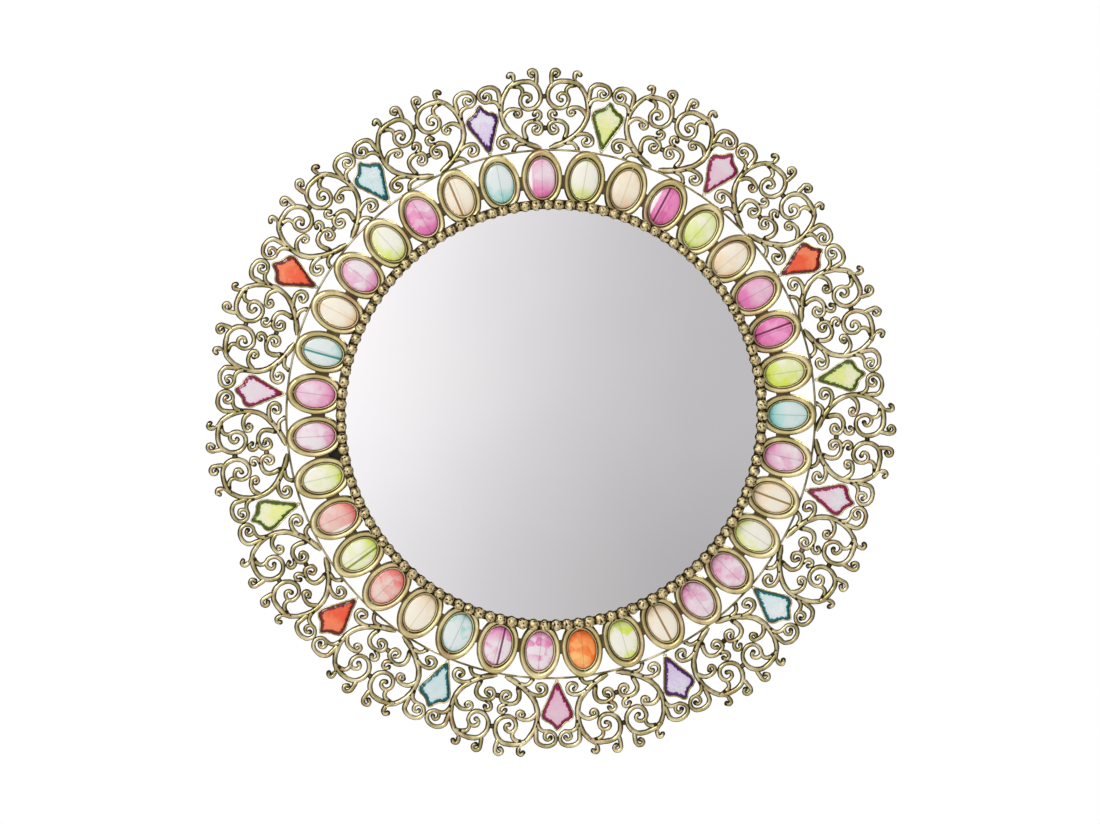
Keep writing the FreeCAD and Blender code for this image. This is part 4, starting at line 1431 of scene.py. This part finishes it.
@dataclass
class KiteRing:
    """The kite stones between the panels, and their wire frames."""

    depth: float = 10.75
    stone_half: float = 2.5
    heart: float = 341.0
    reach: float = 20.0
    spacing: float = 1.2
    wave: float = 0.035
    wave_scale: float = 0.4
    scallop_scale: float = 0.42
    scallop_mean: float = 0.5
    scallop_swing: float = 1.6
    tip_scallop: float = 0.7
    seed_step: float = 5.3
    wire: float = 1.9
    wire_offset: float = 0.8
    wire_sides: int = 8
    eyelet_centre: float = 307.65
    eyelet: float = 4.6
    eyelet_wire: float = 1.5
    eyelet_steps: int = 16

    # Across and outward, from the tip up one side to the apex
    outline: tuple[tuple[float, float], ...] = (
        (0.0, 309.8), (2.0, 310.8), (3.2, 313.4), (5.2, 318.6), (9.0, 326.6), (13.6, 335.6), (16.8, 342.2),
        (17.8, 346.4), (17.0, 350.0), (14.0, 352.6), (8.8, 354.8), (4.8, 358.2), (2.0, 362.4), (0.0, 363.8),
    )
    # Share of the outline's size, share of half the thickness, scallop, and how near the rim
    rows: tuple[tuple[float, float, float, float], ...] = (
        (0.50, -1.00, 0.000, 0.2), (0.90, -1.00, 0.000, 0.6), (0.985, -0.40, 0.000, 1.0),
        (1.00, 0.00, 0.000, 1.0), (0.985, 0.45, 0.000, 1.0), (0.89, 0.82, 0.040, 1.0),
        (0.84, 0.94, 0.055, 0.7), (0.77, 1.00, 0.060, 0.15), (0.60, 1.00, 0.010, 0.0),
        (0.30, 1.00, 0.000, 0.0),
    )

    def corners(self) -> list[Vector]:
        """The whole outline, across and outward, clockwise from the tip.

        Returns:
            The corners.
        """
        right = [Vector(corner) for corner in self.outline]
        left = [Vector((-corner.x, corner.y)) for corner in right[1:-1]]
        return right[:1] + left + right[:0:-1]

    def edge(self, seed: float) -> list[Vector]:
        """One stone's own wavy outline.

        Args:
            seed: shifts the waves.

        Returns:
            Points across and outward, clockwise from the tip.
        """
        heart = Vector((0.0, self.heart))
        corners = self.corners()
        points = []
        for start, end in zip(corners, corners[1:] + corners[:1]):
            steps = max(1, round((end - start).length / self.spacing))
            points += [start.lerp(end, step / steps) for step in range(steps)]
        waves = [1.0 + self.wave * noise.noise(Vector((at.x, at.y, seed)) * self.wave_scale)
                 for at in points]
        return [heart + (at - heart) * wave for at, wave in zip(points, waves)]

    def add_stone(self, bm: bmesh.types.BMesh, angle: float, seed: float, depth: float) -> None:
        """Add one stone whose scalloped edge is its own.

        Args:
            bm: the mesh being built, with layers for rim, across, along and strength.
            angle: where it stands round the mirror.
            seed: shifts the pattern of its edge.
            depth: how much deeper than usual its colour is.
        """
        layers = bm.verts.layers.float
        rim, across, along, strength = layers[RIM], layers[ACROSS], layers[ALONG], layers[STRENGTH]
        heart = Vector((0.0, self.heart))
        edge = self.edge(seed)
        loops = [new_ring(bm, [spot(at.x, at.y, self.depth) for at in edge])]
        for _ in self.rows[1:]:
            loops.append(extruded(bm, loops[-1]))
        for loop, (size, height, scallop, near) in zip(loops, self.rows):
            for vert, at in zip(loop, edge):
                sway = noise.noise(Vector((at.x, at.y, seed)) * self.scallop_scale)
                low = 1.0 + self.tip_scallop * min(1.0, max(0.0, (heart.y - at.y) / self.reach))
                sunk = scallop * low * (self.scallop_mean + self.scallop_swing * sway)
                moved = heart + (at - heart) * (size - sunk)
                vert.co = about_mirror(angle) @ spot(moved.x, moved.y, self.depth + height * self.stone_half)
                vert[rim] = near
                vert[across] = (moved.x - heart.x) / self.reach
                vert[along] = (moved.y - heart.y) / self.reach
                vert[strength] = depth
        for end in (loops[0], loops[-1]):
            bmesh.ops.contextual_create(bm, geom=loop_edges(end))

    def wire_frame(self, angle: float, seed: float) -> bmesh.types.BMesh:
        """The bent wire round one stone, with the eyelet at its tip.

        Args:
            angle: where it stands round the mirror.
            seed: shifts the pattern of the stone's edge.

        Returns:
            The shape.
        """
        bm = bmesh.new()
        edge = self.edge(seed)
        sections = []
        for before, at, after in zip(edge[-1:] + edge[:-1], edge, edge[1:] + edge[:1]):
            along = (after - before).normalized()
            out = Vector((-along.y, along.x))
            section = []
            for side in range(self.wire_sides):
                lean = 2 * math.pi * side / self.wire_sides
                place = at + out * (self.wire_offset + self.wire / 2 * math.cos(lean))
                section.append(spot(place.x, place.y, self.depth + self.wire / 2 * math.sin(lean)))
            sections.append(section)
        sweep(bm, sections, closed=True)
        centre = spot(0.0, self.eyelet_centre, self.depth)
        reach = (self.eyelet - self.eyelet_wire) / 2 * MM
        ring = bmesh.ops.create_circle(bm, segments=self.wire_sides, radius=self.eyelet_wire / 2 * MM,
                                       matrix=Matrix.Translation(centre + Vector((reach, 0.0, 0.0))))["verts"]
        bmesh.ops.spin(bm, geom=ring + loop_edges(ring), cent=centre, axis=(0.0, 1.0, 0.0), angle=2 * math.pi,
                       steps=self.eyelet_steps, use_merge=True)
        bmesh.ops.transform(bm, matrix=about_mirror(angle), verts=bm.verts)
        return bm

    def build(self) -> None:
        """Set frames and stones half-way between the panels."""
        count = len(KITE_STONES)
        seats = [(360.0 * (index + 0.5) / count, index * self.seed_step) for index in range(count)]
        for index, (angle, seed) in enumerate(seats):
            number = f"{index + 1:02d}"
            piece = new_piece(f"kite_wire_{number}", self.wire_frame(angle, seed), KITE_WIRE, crease=60.0)
            hang(piece, "wire_brass", f"kite_setting_{number}")
        for colour, glass in KITE_GLASS.items():
            bm = bmesh.new()
            for name in (RIM, ACROSS, ALONG, STRENGTH):
                bm.verts.layers.float.new(name)
            for (stone, depth), (angle, seed) in zip(KITE_STONES, seats):
                if stone is colour:
                    self.add_stone(bm, angle, seed, depth)
            piece = new_piece(glass.name, bm, glass, crease=30.0)
            hang(piece, glass.name, f"kite_stones_{colour.value}")


@dataclass
class MirrorBack:
    """What the wall hides: board, clips, hangers, tabs and bumpers."""

    finishes: tuple[tuple[Finish, tuple[str, ...]], ...] = (
        (HARDBOARD, ("back_board",)),
        (ZINC, ("board_clips", "clip_screws", "hanger_screws", "hanger_strap_left", "hanger_strap_right",
                "hanger_loop_left", "hanger_loop_right")),
        (BLACK_PAINT, ("bumper_tabs",)),
        (RUBBER, ("wall_bumpers",)),
    )

    def build(self) -> None:
        """Dress the back."""
        for finish, nodes in self.finishes:
            for node in nodes:
                dress(node, finish)


@dataclass(frozen=True)
class SoftLight:
    """A square light that faces the mirror: its place and size in metres, and its power in watts."""

    name: str
    place: tuple[float, float, float]
    size: float
    power: float


@dataclass
class Studio:
    """Camera, soft light and pale floor."""

    distance: float = 12000.0
    object_depth: float = 10.0
    leftward: float = 3.8
    upward: float = 4.8
    image_width: int = 1100
    scale: float = 1.147
    offset: tuple[float, float] = (1.19, 2.56)
    roll: float = 1.2
    slant: float = -0.177
    left_to_right: Step = (0.0473, 0.0985, 1.14, 0.573)
    low_down: Step = (-0.1012, -0.0817, -0.0815, 0.0)
    front_to_back: Step = (-0.75, -0.05, 1.0, 0.12)
    overhead: Step = (0.3, 0.9, 0.0, 0.5)
    lights: tuple[SoftLight, ...] = (
        SoftLight("key", (-2.0, -2.6, 2.2), 1.4, 60.0),
        SoftLight("rear", (1.4, 2.4, 1.8), 1.6, 110.0),
    )
    floor_height: float = -1150.0
    floor_radius: float = 2300.0
    floor_segments: int = 96

    def build_camera(self) -> None:
        """A far camera a little to the upper left, level but for a small roll."""
        data = bpy.data.cameras.new("camera")
        data.sensor_fit = "HORIZONTAL"
        data.angle = 2 * math.atan(self.image_width * self.scale / 2 / self.distance)
        data.shift_x = -self.offset[0] / self.image_width
        data.shift_y = self.offset[1] / self.image_width
        side = math.tan(math.radians(self.leftward))
        rise = math.tan(math.radians(self.upward))
        away = Vector((-side, -1.0, rise)).normalized()
        look = (-away).to_track_quat("-Z", "Y").to_matrix().to_4x4()
        place = spot(0.0, 0.0, self.object_depth) + away * (self.distance * MM)
        turn = Matrix.Rotation(-math.radians(self.roll), 4, "Z")
        camera = bpy.data.objects.new("camera", data)
        camera.matrix_world = Matrix.Translation(place) @ look @ turn
        bpy.context.scene.collection.objects.link(camera)
        bpy.context.scene.camera = camera

    def build_world(self) -> None:
        """White behind the object, and a soft room before it that is brightest to the left."""
        world = bpy.data.worlds.new("room")
        bpy.context.scene.world = world
        world.use_nodes = True
        bench = NodeBench(world.node_tree)
        backdrop = next(node for node in world.node_tree.nodes if node.type == "BACKGROUND")
        toward = bench.add("ShaderNodeNewGeometry").outputs["Position"]
        right, ahead, up = bench.add("ShaderNodeSeparateXYZ", {0: toward}).outputs
        slanted = bench.math("ADD", right, bench.math("MULTIPLY", up, self.slant))
        side = bench.math("ADD", bench.ramp(slanted, *self.left_to_right), bench.ramp(up, *self.low_down))
        front = bench.ramp(ahead, *self.front_to_back)
        above = bench.ramp(up, *self.overhead)
        room = bench.math("ADD", bench.math("MULTIPLY", side, front), above)
        path = bench.add("ShaderNodeLightPath").outputs
        clear = bench.math("MAXIMUM", path["Is Camera Ray"], path["Is Transmission Ray"])
        shade = bench.add("ShaderNodeCombineColor", {0: room, 1: room, 2: room}).outputs[0]
        bench.feed(backdrop, {"Color": bench.blend(clear, shade, WHITE)})

    def build_lights(self) -> None:
        """A large soft light from the upper left, and another from behind."""
        for light in self.lights:
            data = bpy.data.lights.new(light.name, "AREA")
            data.size = light.size
            data.energy = light.power
            lamp = bpy.data.objects.new(light.name, data)
            turn = (-Vector(light.place)).to_track_quat("-Z", "Y").to_matrix().to_4x4()
            lamp.matrix_world = Matrix.Translation(light.place) @ turn
            bpy.context.scene.collection.objects.link(lamp)

    def build_floor(self) -> None:
        """A round pale floor below the mirror."""
        bm = bmesh.new()
        level = Matrix.Translation((0.0, 0.0, self.floor_height * MM))
        bmesh.ops.create_circle(bm, cap_ends=True, segments=self.floor_segments,
                                radius=self.floor_radius * MM, matrix=level)
        new_piece("floor", bm, FLOOR)

    def build(self) -> None:
        """Set up the room."""
        self.build_camera()
        self.build_world()
        self.build_lights()
        self.build_floor()
        bpy.context.scene.view_settings.view_transform = "Standard"


def main() -> None:
    """Build the mirror piece by piece."""
    logging.basicConfig(level=logging.INFO, format="%(message)s")
    for assembly in (Studio(), MirrorPane(), BeadRim(), OvalRing(), ScrollRing(), KiteRing(), MirrorBack()):
        assembly.build()
        LOG.info("%s done", type(assembly).__name__)
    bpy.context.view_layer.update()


if __name__ == "__main__":
    main()
